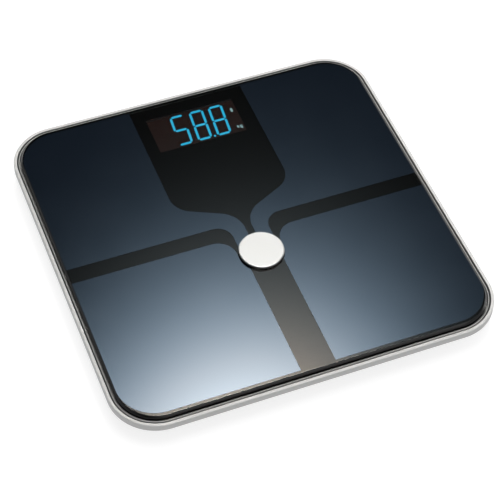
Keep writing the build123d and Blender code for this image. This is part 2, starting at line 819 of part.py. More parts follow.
def segment_points(name, digit_x):
    """Six corners of one pointed segment, leaning with the digit."""
    (start_x, start_y), (end_x, end_y) = segment_ends[name]
    start = Vector(start_x * digit_half_width, start_y * digit_half_height)
    end = Vector(end_x * digit_half_width, end_y * digit_half_height)
    along = (end - start).normalized()
    across = Vector(-along.Y, along.X) * (digit_stroke / 2)
    tip = along * segment_gap
    shoulder = along * (segment_gap + digit_stroke / 2)
    outline = [
        start + tip,
        start + shoulder + across,
        end - shoulder + across,
        end - tip,
        end - shoulder - across,
        start + shoulder - across,
    ]
    return [(digit_x + p.X + p.Y * slant, window_y + p.Y) for p in outline]


digit_xs = [digit_first_x + place * digit_pitch for place in range(3)]
point_x = (digit_xs[1] + digit_xs[2]) / 2 - digit_half_height * slant
letter_gap = unit_stroke
k_left = mark_x - letter_gap - unit_letter_width
g_left = mark_x + letter_gap
unit_y = window_y + unit_rise
with BuildPart() as display_segments:
    with BuildSketch(Plane.XY.offset(module_top)):
        for digit_x, digit in zip(digit_xs, (five, eight, eight)):
            for name in digit:
                with BuildLine():
                    Polyline(*segment_points(name, digit_x), close=True)
                make_face()
        with Locations((point_x, window_y - digit_half_height)):
            Circle(point_size / 2)
        with Locations((mark_x, window_y + mark_rise)):
            SlotOverall(mark_height, mark_width, rotation=90)
        with BuildLine() as unit_letters:
            Line((k_left, unit_y - unit_letter_height / 2), (k_left, unit_y + unit_letter_height))
            Polyline(
                (k_left + unit_letter_width, unit_y + unit_letter_height / 2),
                (k_left, unit_y),
                (k_left + unit_letter_width, unit_y - unit_letter_height / 2),
            )
            Polyline(
                (g_left + unit_letter_width, unit_y + unit_letter_height / 2),
                (g_left, unit_y + unit_letter_height / 2),
                (g_left, unit_y - unit_letter_height / 2),
                (g_left + unit_letter_width, unit_y - unit_letter_height / 2),
            )
            Polyline(
                (g_left + unit_letter_width, unit_y + unit_letter_height / 2),
                (g_left + unit_letter_width, unit_y - unit_letter_height),
                (g_left, unit_y - unit_letter_height),
            )
        trace(line_width=unit_stroke)
    extrude(amount=segment_thickness)
display_segments.part.label = "display_segments"
export_step(display_segments.part, "parts/display_segments.step")

# Unit button in the tray's floor: a cap with a flange that keeps it in
button_bottom = tray_bottom - button_proud
flange_top = floor_top + button_flange
with BuildPart() as unit_button:
    with Locations((0, button_y, button_bottom)):
        Cylinder(button_radius, floor_top - button_bottom, align=upright)
    with Locations((0, button_y, floor_top)):
        Cylinder(button_flange_radius, button_flange, align=upright)
    fillet(unit_button.edges().sort_by(Axis.Z)[0], button_proud)
unit_button.part.label = "unit_button"
export_step(unit_button.part, "parts/unit_button.step")

# Push switch under the board, and its plunger, which moves with the button
switch_bottom = flange_top + button_travel + switch_stop_gap
plunger_top = switch_bottom + plunger_grip
with BuildPart() as unit_switch:
    with Locations((0, button_y, switch_bottom)):
        Box(switch_size, switch_size, board_bottom - switch_bottom, align=upright)
        Cylinder(
            plunger_radius + plunger_gap,
            plunger_grip + button_travel + plunger_gap,
            align=upright,
            mode=Mode.SUBTRACT,
        )
unit_switch.part.label = "unit_switch"
export_step(unit_switch.part, "parts/unit_switch.step")

with BuildPart() as switch_plunger:
    with Locations((0, button_y, flange_top)):
        Cylinder(plunger_radius, plunger_top - flange_top, align=upright)
switch_plunger.part.label = "switch_plunger"
export_step(switch_plunger.part, "parts/switch_plunger.step")

# Load cells, clamps and feet, one set for each corner. The cell's tongue points outwards.
for corner, (foot_x, foot_y) in feet.items():
    inward = -1 if foot_x > 0 else 1
    with BuildPart() as load_cell:
        with BuildSketch(Plane.XY.offset(load_cell_bottom)):
            with Locations((foot_x, foot_y)):
                RectangleRounded(load_cell_size, load_cell_size, load_cell_corner_radius)
                Rectangle(load_cell_slot_length, load_cell_slot_width, mode=Mode.SUBTRACT)
            tongue_length = load_cell_slot_length / 2 + load_cell_tongue_end
            tongue_x = foot_x + inward * (load_cell_slot_length - tongue_length) / 2
            with Locations((tongue_x, foot_y)):
                Rectangle(tongue_length, load_cell_tongue_width)
            with Locations((foot_x, foot_y)):
                Circle(foot_screw_radius + screw_clearance, mode=Mode.SUBTRACT)
        extrude(amount=load_cell_thickness)
    load_cell.part.label = f"load_cell_{corner}"
    export_step(load_cell.part, f"parts/load_cell_{corner}.step")

    with BuildPart() as load_cell_clamp:
        with BuildSketch(Plane.XY.offset(load_cell_top)):
            with Locations((foot_x, foot_y)):
                RectangleRounded(
                    clamp_width,
                    2 * (clamp_screw_reach + clamp_ear),
                    clamp_corner_radius,
                )
                Rectangle(clamp_opening, clamp_opening, mode=Mode.SUBTRACT)
                with Locations((0, -clamp_screw_reach), (0, clamp_screw_reach)):
                    Circle(small_screw_radius + screw_clearance, mode=Mode.SUBTRACT)
        extrude(amount=clamp_thickness)
    load_cell_clamp.part.label = f"load_cell_clamp_{corner}"
    export_step(load_cell_clamp.part, f"parts/load_cell_clamp_{corner}.step")

    with BuildPart() as foot_cup:
        with Locations((foot_x, foot_y, foot_plate_bottom)):
            Cylinder(foot_radius, foot_plate_top - foot_plate_bottom, align=upright)
        fillet(foot_cup.edges().filter_by(GeomType.CIRCLE), foot_edge_round)
        with Locations((foot_x, foot_y, foot_plate_top)):
            Cylinder(foot_post_radius, load_cell_bottom - foot_plate_top, align=upright)
        with Locations((foot_x, foot_y, foot_plate_bottom)):
            Cylinder(
                foot_pad_radius + foot_pad_gap,
                foot_pad_recess,
                align=upright,
                mode=Mode.SUBTRACT,
            )
        with Locations((foot_x, foot_y, load_cell_bottom)):
            Hole(
                foot_screw_radius + thread_clearance,
                depth=foot_screw_length - load_cell_thickness + screw_tip_gap,
            )
    foot_cup.part.label = f"foot_cup_{corner}"
    export_step(foot_cup.part, f"parts/foot_cup_{corner}.step")

    with BuildPart() as foot_pad:
        with Locations((foot_x, foot_y, 0)):
            Cylinder(foot_pad_radius, foot_pad_thickness, align=upright)
        fillet(foot_pad.edges().sort_by(Axis.Z)[0], foot_pad_round)
    foot_pad.part.label = f"foot_pad_{corner}"
    export_step(foot_pad.part, f"parts/foot_pad_{corner}.step")

    with BuildPart() as foot_screw:
        with Locations((foot_x, foot_y, load_cell_top - foot_screw_length)):
            Cylinder(foot_screw_radius, foot_screw_length, align=upright)
        with Locations((foot_x, foot_y, load_cell_top)):
            Cylinder(foot_screw_head_radius, foot_screw_head_height, align=upright)
    foot_screw.part.label = f"foot_screw_{corner}"
    export_step(foot_screw.part, f"parts/foot_screw_{corner}.step")

with BuildPart() as clamp_screws:
    with Locations(*at_height(clamp_screw_points, clamp_top - clamp_screw_length)):
        Cylinder(small_screw_radius, clamp_screw_length, align=upright)
    with Locations(*at_height(clamp_screw_points, clamp_top)):
        Cylinder(small_screw_head_radius, small_screw_head_height, align=upright)
clamp_screws.part.label = "clamp_screws"
export_step(clamp_screws.part, "parts/clamp_screws.step")

# Strain gauges under the roots of the tongues, each under its coat of sealant
gauge_points = [
    (x - (1 if x > 0 else -1) * gauge_offset, y, load_cell_bottom - gauge_height)
    for x, y in feet.values()
]
with BuildPart() as strain_gauges:
    with Locations(*gauge_points):
        Box(gauge_length, gauge_width, gauge_height, align=upright)
strain_gauges.part.label = "strain_gauges"
export_step(strain_gauges.part, "parts/strain_gauges.step")



def lead_pair(route, diameter):
    """A lead along the route and its mirror image, with straight runs joined by wide arcs."""
    pair = []
    for side in (-1, 1):
        points = [(side * x, y, z) for x, y, z in route]
        with BuildPart() as lead:
            with BuildLine() as path:
                FilletPolyline(*points, radius=bend_radii(points))
            with BuildSketch(Plane(origin=path.line @ 0, z_dir=path.line % 0)):
                Circle(diameter / 2)
            sweep(path=path.line)
        pair.append(lead.part)
    return pair


# Load-cell leads on the tray's floor, from each gauge to a plug under the board
lead_start = foot_reach - gauge_offset - gauge_length / 2
front_lane = (post_x + post_radius + lead_start) / 2
rear_lane = board_width / 2 + rear_lane_gap
front_lead = [
    (lead_start, -foot_reach, lead_z),
    (front_lane, -foot_reach, lead_z),
    (front_lane, connector_front - front_lane_end, lead_z),
    (inner_connector_x, connector_front - front_lead_run_in, lead_z),
    (inner_connector_x, connector_front, lead_z),
]
rear_lead = [
    (lead_start, foot_reach, lead_z),
    (rear_lane, foot_reach, lead_z),
    (rear_lane, connector_front - rear_lane_end, lead_z),
    (outer_connector_x, connector_front - rear_lead_run_in, lead_z),
    (outer_connector_x, connector_front, lead_z),
]
front_pair = lead_pair(front_lead, load_lead_diameter)
rear_pair = lead_pair(rear_lead, load_lead_diameter)
with BuildPart() as load_cell_leads:
    add(front_pair + rear_pair)
load_cell_leads.part.label = "load_cell_leads"
export_step(load_cell_leads.part, "parts/load_cell_leads.step")

# Battery leads from the two tags to the middle plug
battery_lead_start = wall_x + tag_length
battery_lane = battery_lead_start + battery_lane_offset
battery_lead = [
    (battery_lead_start, tag_y, lead_z),
    (battery_lane, tag_y, lead_z),
    (battery_lane, tag_y + battery_lane_length, lead_z),
    (battery_lead_diameter, connector_front - battery_lead_run_in, lead_z),
    (battery_lead_diameter, connector_front, lead_z),
]
battery_pair = lead_pair(battery_lead, battery_lead_diameter)
with BuildPart() as battery_leads:
    add(battery_pair)
battery_leads.part.label = "battery_leads"
export_step(battery_leads.part, "parts/battery_leads.step")

# Foil tabs under the glass for the four films, and their leads to the plugs on the board
tab_reach = glass_half - electrode_tab_inset
tab_points = [(x * tab_reach, y) for x in (-1, 1) for y in (electrode_tab_rear_y, electrode_tab_front_y)]
tab_bottom = print_bottom - electrode_tab_thickness
with BuildPart() as electrode_tabs:
    with BuildSketch(Plane.XY.offset(tab_bottom)):
        with Locations(*tab_points):
            Rectangle(electrode_tab_size, electrode_tab_size)
    extrude(amount=electrode_tab_thickness)
electrode_tabs.part.label = "electrode_tabs"
export_step(electrode_tabs.part, "parts/electrode_tabs.step")

high_z = tab_bottom - lead_tab_gap - electrode_lead_diameter / 2
plug_z = board_top + top_connector_height / 2
front_plug_x = top_connector_x - top_connector_width / 4
rear_plug_x = top_connector_x + top_connector_width / 4
front_electrode_lead = [
    (tab_reach, electrode_tab_front_y, high_z),
    (tab_reach - front_tab_run, electrode_tab_front_y, high_z),
    (tab_reach - front_tab_slant_x, electrode_tab_front_y + front_tab_slant_y, high_z),
    (front_plug_x, connector_front - front_dip_start, high_z),
    (front_plug_x, connector_front - front_dip_end, plug_z),
    (front_plug_x, connector_front, plug_z),
]
rear_electrode_lead = [
    (tab_reach, electrode_tab_rear_y, high_z),
    (tab_reach - rear_tab_run, electrode_tab_rear_y, high_z),
    (rear_plug_x, connector_front - rear_dip_start, high_z),
    (rear_plug_x, connector_front - rear_dip_end, plug_z),
    (rear_plug_x, connector_front, plug_z),
]
front_electrode_pair = lead_pair(front_electrode_lead, electrode_lead_diameter)
rear_electrode_pair = lead_pair(rear_electrode_lead, electrode_lead_diameter)
with BuildPart() as electrode_leads:
    add(front_electrode_pair + rear_electrode_pair)
electrode_leads.part.label = "electrode_leads"
export_step(electrode_leads.part, "parts/electrode_leads.step")
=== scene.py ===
import math

import bpy
from mathutils import Matrix, Vector


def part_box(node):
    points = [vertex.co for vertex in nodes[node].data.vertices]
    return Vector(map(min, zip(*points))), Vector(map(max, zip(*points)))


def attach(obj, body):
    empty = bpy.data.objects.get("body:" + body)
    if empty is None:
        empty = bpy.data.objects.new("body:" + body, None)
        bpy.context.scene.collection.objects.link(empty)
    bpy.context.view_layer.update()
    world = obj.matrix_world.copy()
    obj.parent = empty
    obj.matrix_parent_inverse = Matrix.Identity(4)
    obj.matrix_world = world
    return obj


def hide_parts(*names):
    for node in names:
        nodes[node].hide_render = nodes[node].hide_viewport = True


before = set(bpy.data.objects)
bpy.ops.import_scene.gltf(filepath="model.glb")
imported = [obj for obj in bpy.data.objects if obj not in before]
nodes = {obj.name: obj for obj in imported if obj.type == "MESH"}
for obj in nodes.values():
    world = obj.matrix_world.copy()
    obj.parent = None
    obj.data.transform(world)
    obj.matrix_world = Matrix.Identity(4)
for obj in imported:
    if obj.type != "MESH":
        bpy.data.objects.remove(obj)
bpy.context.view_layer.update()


# Base tray: one injection moulding in black ABS that carries everything else.
# The tool is spark eroded, so the pan has a fine even grain that scatters the light.
mm = 0.001
tray_colour = "#1D1E20"
tray_flow_colour = "#2A2B2D"
tray_roughness = (0.48, 0.66)
spark_grain = 0.9 * mm
spark_depth = 0.12 * mm
flow_mark = 60 * mm
abs_ior = 1.53


def linear(hex_colour):
    """Linear RGBA for an sRGB hex colour."""
    shares = [int(hex_colour[start:start + 2], 16) / 255 for start in (1, 3, 5)]
    bent = [share / 12.92 if share <= 0.04045 else ((share + 0.055) / 1.055) ** 2.4 for share in shares]
    return (*bent, 1.0)


def add_node(owner, kind, settings, inputs):
    """Adds one shader node. An input is a plain value, or an output that gets linked to it."""
    node = owner.node_tree.nodes.new(kind)
    for name, value in settings.items():
        setattr(node, name, value)
    for name, value in inputs.items():
        if isinstance(value, bpy.types.NodeSocket):
            owner.node_tree.links.new(value, node.inputs[name])
        else:
            node.inputs[name].default_value = value
    return node


def bare_material(name):
    """A material with nothing in it yet."""
    material = bpy.data.materials.new(name)
    material.use_nodes = True
    material.node_tree.nodes.clear()
    return material


def close_material(material, shader):
    """Wires a finished shader to the material's surface."""
    add_node(material, "ShaderNodeOutputMaterial", {}, {"Surface": shader.outputs[0]})


def dress(material, *names):
    """Puts a material on CAD nodes that keep their own shape."""
    for name in names:
        for slot in nodes[name].material_slots:
            slot.material = material


# The grain is about 0.2 mm on the real tool, too fine to show, so it is drawn some four times as coarse
black_abs = bare_material("spark_eroded_black_abs")
place = add_node(black_abs, "ShaderNodeTexCoord", {}, {})
grain = add_node(
    black_abs,
    "ShaderNodeTexNoise",
    {},
    {"Vector": place.outputs["Object"], "Scale": 1 / spark_grain, "Detail": 3.0},
)
flow = add_node(
    black_abs,
    "ShaderNodeTexNoise",
    {},
    {"Vector": place.outputs["Object"], "Scale": 1 / flow_mark, "Detail": 2.0},
)
tone = add_node(
    black_abs,
    "ShaderNodeMix",
    {"data_type": "RGBA"},
    {"Factor": flow.outputs["Fac"], "A": linear(tray_colour), "B": linear(tray_flow_colour)},
)
relief = add_node(
    black_abs,
    "ShaderNodeBump",
    {},
    {"Height": grain.outputs["Fac"], "Strength": 0.35, "Distance": spark_depth},
)
gloss = add_node(
    black_abs,
    "ShaderNodeMapRange",
    {},
    {"Value": grain.outputs["Fac"], "To Min": tray_roughness[0], "To Max": tray_roughness[1]},
)
plastic = add_node(
    black_abs,
    "ShaderNodeBsdfPrincipled",
    {},
    {
        "Base Color": tone.outputs["Result"],
        "Roughness": gloss.outputs["Result"],
        "IOR": abs_ior,
        "Normal": relief.outputs["Normal"],
    },
)
close_material(black_abs, plastic)
dress(black_abs, "base_tray")


# Load cells: four E-shaped springs punched from tool steel and nickel plated.
# Each one bends by a few tenths of a millimetre, held down by an ABS clamp and two screws.
# Nickel over rolled strip shines softly and is streaked along the way it was rolled.
corners = ("rear_left", "rear_right", "front_left", "front_right")
plated_colours = ("#BDB9AF", "#8F8C85")
plated_roughness = (0.24, 0.44)
roll_mark = 0.8 * mm
roll_length = 16 * mm


def clouded(name, colours, patch, detail, roughness, look, relief=None):
    """A material in two tones that pass into each other in soft patches of a real size.

    The patch is one size, or three along X, Y and Z for streaks. The roughness is one value, or a least
    and a most that follow the patches. The relief is the strength and the depth of a surface that swells
    with them. The look holds the shader's other sockets."""
    sizes = patch if isinstance(patch, tuple) else (patch, patch, patch)
    material = bare_material(name)
    place = add_node(material, "ShaderNodeTexCoord", {}, {})
    scaled = add_node(
        material,
        "ShaderNodeMapping",
        {},
        {"Vector": place.outputs["Object"], "Scale": tuple(1 / size for size in sizes)},
    )
    cloud = add_node(
        material,
        "ShaderNodeTexNoise",
        {},
        {"Vector": scaled.outputs["Vector"], "Scale": 1.0, "Detail": detail},
    )
    tone = add_node(
        material,
        "ShaderNodeMix",
        {"data_type": "RGBA"},
        {"Factor": cloud.outputs["Fac"], "A": linear(colours[0]), "B": linear(colours[1])},
    )
    sockets = {"Base Color": tone.outputs["Result"], "Roughness": roughness, **look}
    if isinstance(roughness, tuple):
        gloss = add_node(
            material,
            "ShaderNodeMapRange",
            {},
            {"Value": cloud.outputs["Fac"], "To Min": roughness[0], "To Max": roughness[1]},
        )
        sockets["Roughness"] = gloss.outputs["Result"]
    if relief:
        swell = add_node(
            material,
            "ShaderNodeBump",
            {},
            {"Height": cloud.outputs["Fac"], "Strength": relief[0], "Distance": relief[1]},
        )
        sockets["Normal"] = swell.outputs["Normal"]
    shader = add_node(material, "ShaderNodeBsdfPrincipled", {}, sockets)
    close_material(material, shader)
    return material


# Real roll marks are about a tenth as wide, too fine to show, so they are drawn coarser
plated_steel = clouded(
    "nickel_plated_spring_steel",
    plated_colours,
    patch=(roll_mark, roll_length, roll_mark),
    detail=4.0,
    roughness=plated_roughness,
    look={"Metallic": 1.0},
)
dress(plated_steel, *[f"load_cell_{corner}" for corner in corners])
dress(black_abs, *[f"load_cell_clamp_{corner}" for corner in corners])


# Strain gauges: foil gauges under a dab of white silicone that keeps damp out.
# The sealant is cast by hand, so it is soft, slightly uneven and a little shiny.
sealant_colours = ("#E7E4DA", "#CFCBBE")
sealant_lump = 2.5 * mm
sealant_relief = (0.5, 0.4 * mm)
silicone_ior = 1.41

white_silicone = clouded(
    "cast_white_silicone",
    sealant_colours,
    patch=sealant_lump,
    detail=2.0,
    roughness=0.38,
    look={"IOR": silicone_ior},
    relief=sealant_relief,
)
dress(white_silicone, "strain_gauges")


# Screws: zinc-plated steel, cold headed, for the frames, the clamps, the board and the feet.
# Bright zinc has a faint blue cast and small cloudy patches where the bath was uneven.
zinc_colours = ("#C3C6C8", "#9DA0A2")
zinc_roughness = (0.2, 0.38)
zinc_cloud = 1.6 * mm

bright_zinc = clouded(
    "bright_zinc_plated_steel",
    zinc_colours,
    patch=zinc_cloud,
    detail=3.0,
    roughness=zinc_roughness,
    look={"Metallic": 1.0},
)
dress(bright_zinc, "clamp_screws", "board_screws", "frame_screws")
dress(bright_zinc, *[f"foot_screw_{corner}" for corner in corners])


# Feet: an ABS cup screwed to each load cell, with a black rubber pad glued into its mouth.
# The pad is pressed with rings that grip the floor; rubber is matt with a grey bloom.
body = "scale_body"
rubber_colours = ("#171717", "#242322")
rubber_roughness = (0.7, 0.92)
rubber_bloom = 5 * mm
pad_ring_width = 1.6 * mm
pad_ring_pitch = 3.4 * mm
pad_ring_depth = 0.7 * mm
pad_first_ring = 3.0 * mm
pad_edge = 0.5 * mm
pad_edge_steps = 4
turn_steps = 96
sharp_corner = math.radians(30)


def new_piece(name, mesh, material, replaced):
    """Links a finished mesh into the scene as the piece that stands for CAD nodes."""
    piece = bpy.data.objects.new(name, mesh)
    bpy.context.scene.collection.objects.link(piece)
    mesh.materials.append(material)
    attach(piece, body)
    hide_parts(*replaced)


def shade(mesh):
    """Smooth shading that breaks at sharp corners."""
    mesh.shade_smooth()
    mesh.set_sharp_from_angle(angle=sharp_corner)


def arc(middle, radius, first, last, steps):
    """Points on part of a circle, from the first angle to the last, in degrees."""
    angles = [math.radians(first + (last - first) * step / steps) for step in range(steps + 1)]
    return [(middle[0] + radius * math.cos(a), middle[1] + radius * math.sin(a)) for a in angles]


def turned(name, profile):
    """Mesh turned round the Z axis. The profile's (radius, height) ends lie on the axis."""
    vertices = [(0, 0, profile[0][1]), (0, 0, profile[-1][1])]
    first_ring = len(vertices)
    for radius, height in profile[1:-1]:
        for step in range(turn_steps):
            angle = 2 * math.pi * step / turn_steps
            vertices.append((radius * math.cos(angle), radius * math.sin(angle), height))
    last_ring = len(vertices) - turn_steps
    faces = []
    for step in range(turn_steps):
        after = (step + 1) % turn_steps
        faces.append((0, first_ring + after, first_ring + step))
        for low in range(first_ring, last_ring, turn_steps):
            high = low + turn_steps
            faces.append((low + step, low + after, high + after, high + step))
        faces.append((last_ring + step, last_ring + after, 1))
    mesh = bpy.data.meshes.new(name)
    mesh.from_pydata(vertices, [], faces)
    shade(mesh)
    return mesh


black_rubber = clouded(
    "pressed_black_rubber",
    rubber_colours,
    patch=rubber_bloom,
    detail=6.0,
    roughness=rubber_roughness,
    look={"IOR": 1.52},
)
dress(black_abs, *[f"foot_cup_{corner}" for corner in corners])

for corner in corners:
    low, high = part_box(f"foot_pad_{corner}")
    pad_radius = (high.x - low.x) / 2
    pad_height = high.z - low.z
    flank = pad_ring_depth / 2
    profile = [(0, 0)]
    ring = pad_first_ring
    while ring + pad_ring_width < pad_radius - pad_ring_width:
        profile += [(ring, 0), (ring + flank, pad_ring_depth)]
        profile += [(ring + pad_ring_width - flank, pad_ring_depth), (ring + pad_ring_width, 0)]
        ring += pad_ring_pitch
    profile += arc((pad_radius - pad_edge, pad_edge), pad_edge, -90, 0, pad_edge_steps)
    profile += [(pad_radius, pad_height), (0, pad_height)]
    pad_mesh = turned(f"foot_pad_{corner}_rubber", profile)
    pad_mesh.transform(Matrix.Translation(((low.x + high.x) / 2, (low.y + high.y) / 2, low.z)))
    new_piece(f"ringed_foot_pad_{corner}", pad_mesh, black_rubber, [f"foot_pad_{corner}"])


# Battery contacts: spring strip stamped from nickel-plated steel and pushed into the bay's ends.
# The strip is bright, with wipe marks where the cells slide in.
nickel_colours = ("#CDC8BD", "#A9A499")
nickel_roughness = (0.12, 0.3)
wipe_mark = 0.6 * mm
wipe_length = 6 * mm

bright_nickel = clouded(
    "stamped_nickel_strip",
    nickel_colours,
    patch=(wipe_mark, wipe_mark, wipe_length),
    detail=3.0,
    roughness=nickel_roughness,
    look={"Metallic": 1.0},
)
dress(bright_nickel, "battery_plus_contacts", "battery_minus_contacts")


# Battery cells: four AAA cells, each a drawn steel can in a shrunk film sleeve.
# The sleeve is plain grey with a teal band at the plus end; the can shows bright at both ends.
sleeve_grey = "#C9CCCE"
sleeve_teal = "#1F6E78"
can_colour = "#CFCFCB"
cell_radius = 5.25 * mm
cell_length = 44.5 * mm
nub_radius = 1.9 * mm
nub_length = 1.0 * mm
cell_edge = 0.6 * mm
cell_edge_steps = 6
nub_edge = 0.3 * mm
nub_edge_steps = 4
sleeve_turn_in = 4.6 * mm
sleeve_step = 0.08 * mm
teal_band = 15 * mm
cell_names = [f"battery_cell_{number}" for number in range(1, 5)]
plus_sides = (1, -1, 1, -1)

minus_end = -cell_length / 2
plus_end = cell_length / 2
can_end = plus_end - nub_length
cell_profile = [(0, minus_end + sleeve_step)]
cell_profile += [(sleeve_turn_in, minus_end + sleeve_step), (sleeve_turn_in, minus_end)]
cell_profile += arc((cell_radius - cell_edge, minus_end + cell_edge), cell_edge, -90, 0, cell_edge_steps)
cell_profile += arc((cell_radius - cell_edge, can_end - cell_edge), cell_edge, 0, 90, cell_edge_steps)
cell_profile += [(sleeve_turn_in, can_end), (sleeve_turn_in, can_end - sleeve_step)]
cell_profile += [(nub_radius, can_end - sleeve_step)]
cell_profile += arc((nub_radius - nub_edge, plus_end - nub_edge), nub_edge, 0, 90, nub_edge_steps)
cell_profile += [(0, plus_end)]

for name, plus_side in zip(cell_names, plus_sides):
    low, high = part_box(name)
    cell_middle = (low + high) / 2
    sleeved_cell = bare_material(f"sleeved_steel_can_{name[-1]}")
    place = add_node(sleeved_cell, "ShaderNodeTexCoord", {}, {})
    centred = add_node(
        sleeved_cell,
        "ShaderNodeVectorMath",
        {"operation": "SUBTRACT"},
        {0: place.outputs["Object"], 1: tuple(cell_middle)},
    )
    axes = add_node(sleeved_cell, "ShaderNodeSeparateXYZ", {}, {"Vector": centred.outputs["Vector"]})
    toward_plus = add_node(
        sleeved_cell, "ShaderNodeMath", {"operation": "MULTIPLY"}, {0: axes.outputs["X"], 1: plus_side}
    )
    in_band = add_node(
        sleeved_cell,
        "ShaderNodeMath",
        {"operation": "GREATER_THAN"},
        {0: toward_plus.outputs["Value"], 1: plus_end - teal_band},
    )
    sleeve = add_node(
        sleeved_cell,
        "ShaderNodeMix",
        {"data_type": "RGBA"},
        {"Factor": in_band.outputs["Value"], "A": linear(sleeve_grey), "B": linear(sleeve_teal)},
    )
    across = add_node(
        sleeved_cell, "ShaderNodeCombineXYZ", {}, {"Y": axes.outputs["Y"], "Z": axes.outputs["Z"]}
    )
    from_axis = add_node(
        sleeved_cell, "ShaderNodeVectorMath", {"operation": "LENGTH"}, {0: across.outputs["Vector"]}
    )
    on_can = add_node(
        sleeved_cell,
        "ShaderNodeMath",
        {"operation": "LESS_THAN"},
        {0: from_axis.outputs["Value"], 1: sleeve_turn_in - sleeve_step / 2},
    )
    colour = add_node(
        sleeved_cell,
        "ShaderNodeMix",
        {"data_type": "RGBA"},
        {"Factor": on_can.outputs["Value"], "A": sleeve.outputs["Result"], "B": linear(can_colour)},
    )
    shell = add_node(
        sleeved_cell,
        "ShaderNodeBsdfPrincipled",
        {},
        {"Base Color": colour.outputs["Result"], "Metallic": on_can.outputs["Value"], "Roughness": 0.26},
    )
    close_material(sleeved_cell, shell)
    cell_mesh = turned(f"{name}_shell", cell_profile)
    lie_down = Matrix.Rotation(math.radians(90 * plus_side), 4, "Y")
    cell_mesh.transform(Matrix.Translation(cell_middle) @ lie_down)
    new_piece(f"sleeved_{name}", cell_mesh, sleeved_cell, [name])


# Battery door: moulded in the same ABS as the tray, hinged on two pins at its front edge.
# A thumb notch and four grooves at the latch let a finger pull it open.
dress(black_abs, "battery_door")


# Main board: glass-epoxy laminate with green solder mask over etched copper.
# The mask is glossy, and the tracks show through as a lighter green.
mask_colour = "#14512F"
track_colour = "#2B7A4A"
track_pitch = 2.2 * mm
track_width = 0.242 * mm
track_run = 10.12 * mm

green_board = bare_material("solder_masked_laminate")
place = add_node(green_board, "ShaderNodeTexCoord", {}, {})
tracks = add_node(
    green_board,
    "ShaderNodeTexBrick",
    {"offset": 0.37, "squash_frequency": 3, "squash": 0.6},
    {
        "Vector": place.outputs["Object"],
        "Color1": linear(mask_colour),
        "Color2": linear(mask_colour),
        "Mortar": linear(track_colour),
        "Scale": 1 / track_pitch,
        "Mortar Size": track_width / track_pitch,
        "Brick Width": track_run / track_pitch,
        "Row Height": 1.0,
    },
)
board = add_node(
    green_board,
    "ShaderNodeBsdfPrincipled",
    {},
    {"Base Color": tracks.outputs["Color"], "Roughness": 0.24, "IOR": 1.55},
)
close_material(green_board, board)
dress(green_board, "main_board")


# Chips and the push switch: transfer-moulded epoxy, black and slightly speckled with filler.
# The speckle is some tens of microns, so it is drawn coarser here.
epoxy_colour = "#18191B"
epoxy_speck_colour = "#26282B"
epoxy_speck = 0.4 * mm

black_epoxy = bare_material("moulded_black_epoxy")
place = add_node(black_epoxy, "ShaderNodeTexCoord", {}, {})
speck = add_node(
    black_epoxy, "ShaderNodeTexVoronoi", {}, {"Vector": place.outputs["Object"], "Scale": 1 / epoxy_speck}
)
tone = add_node(
    black_epoxy,
    "ShaderNodeMix",
    {"data_type": "RGBA"},
    {
        "Factor": speck.outputs["Distance"],
        "A": linear(epoxy_colour),
        "B": linear(epoxy_speck_colour),
    },
)
epoxy = add_node(
    black_epoxy,
    "ShaderNodeBsdfPrincipled",
    {},
    {"Base Color": tone.outputs["Result"], "Roughness": 0.5, "IOR": 1.57},
)
close_material(black_epoxy, epoxy)
dress(black_epoxy, "board_chips", "unit_switch")


# Radio: a small module under a drawn tinplate can, soldered down all round.
# Tinplate is a soft white metal with a rolled look, drawn coarser than it is so that it shows.
tin_colours = ("#C4C6C6", "#A6A8A8")
tin_roll = 0.5 * mm
tin_roll_length = 12.5 * mm

tinplate = clouded(
    "drawn_tinplate",
    tin_colours,
    patch=(tin_roll_length, tin_roll, tin_roll),
    detail=3.0,
    roughness=0.33,
    look={"Metallic": 1.0},
)
dress(tinplate, "wireless_module")


# Plug housings: natural nylon mouldings on the board that take the plugs of the leads.
# Uncoloured nylon is cream and a little waxy.
nylon_colours = ("#E6E1D1", "#D6D0BE")
nylon_cloud = 3 * mm

natural_nylon = clouded(
    "moulded_natural_nylon",
    nylon_colours,
    patch=nylon_cloud,
    detail=2.0,
    roughness=0.36,
    look={"IOR": 1.53},
)
dress(natural_nylon, "board_connectors")


# Display: a light-proof black housing with light chambers under each segment.
# Its face is matt, with a faint brown glow painted on as emission in place of stray light from the
# chambers.
housing_colour = "#0B0706"
painted_housing_glow = "#24100C"
housing_roughness = (0.7, 0.9)
housing_grain = 1.2 * mm

chamber_black = bare_material("matt_display_housing")
place = add_node(chamber_black, "ShaderNodeTexCoord", {}, {})
grain = add_node(
    chamber_black,
    "ShaderNodeTexNoise",
    {},
    {"Vector": place.outputs["Object"], "Scale": 1 / housing_grain, "Detail": 2.0},
)
gloss = add_node(
    chamber_black,
    "ShaderNodeMapRange",
    {},
    {"Value": grain.outputs["Fac"], "To Min": housing_roughness[0], "To Max": housing_roughness[1]},
)
# The emission is a painted glow: the housing itself gives no light
housing = add_node(
    chamber_black,
    "ShaderNodeBsdfPrincipled",
    {},
    {
        "Base Color": linear(housing_colour),
        "Roughness": gloss.outputs["Result"],
        "Specular IOR Level": 0.0,
        "Emission Color": linear(painted_housing_glow),
        "Emission Strength": 1.0,
    },
)
close_material(chamber_black, housing)
dress(chamber_black, "display_module")


# Segments: milky resin windows lit from behind, the digits by cyan lamps at full strength.
# The small marks at their right have a dimmer, paler light.
lit_colour = "#1AB6E4"
mark_colour = "#B5DCE2"
digit_glow = 1.7
mark_glow = 0.9
marks_from_x = 30 * mm
resin_colour = "#5F7A82"

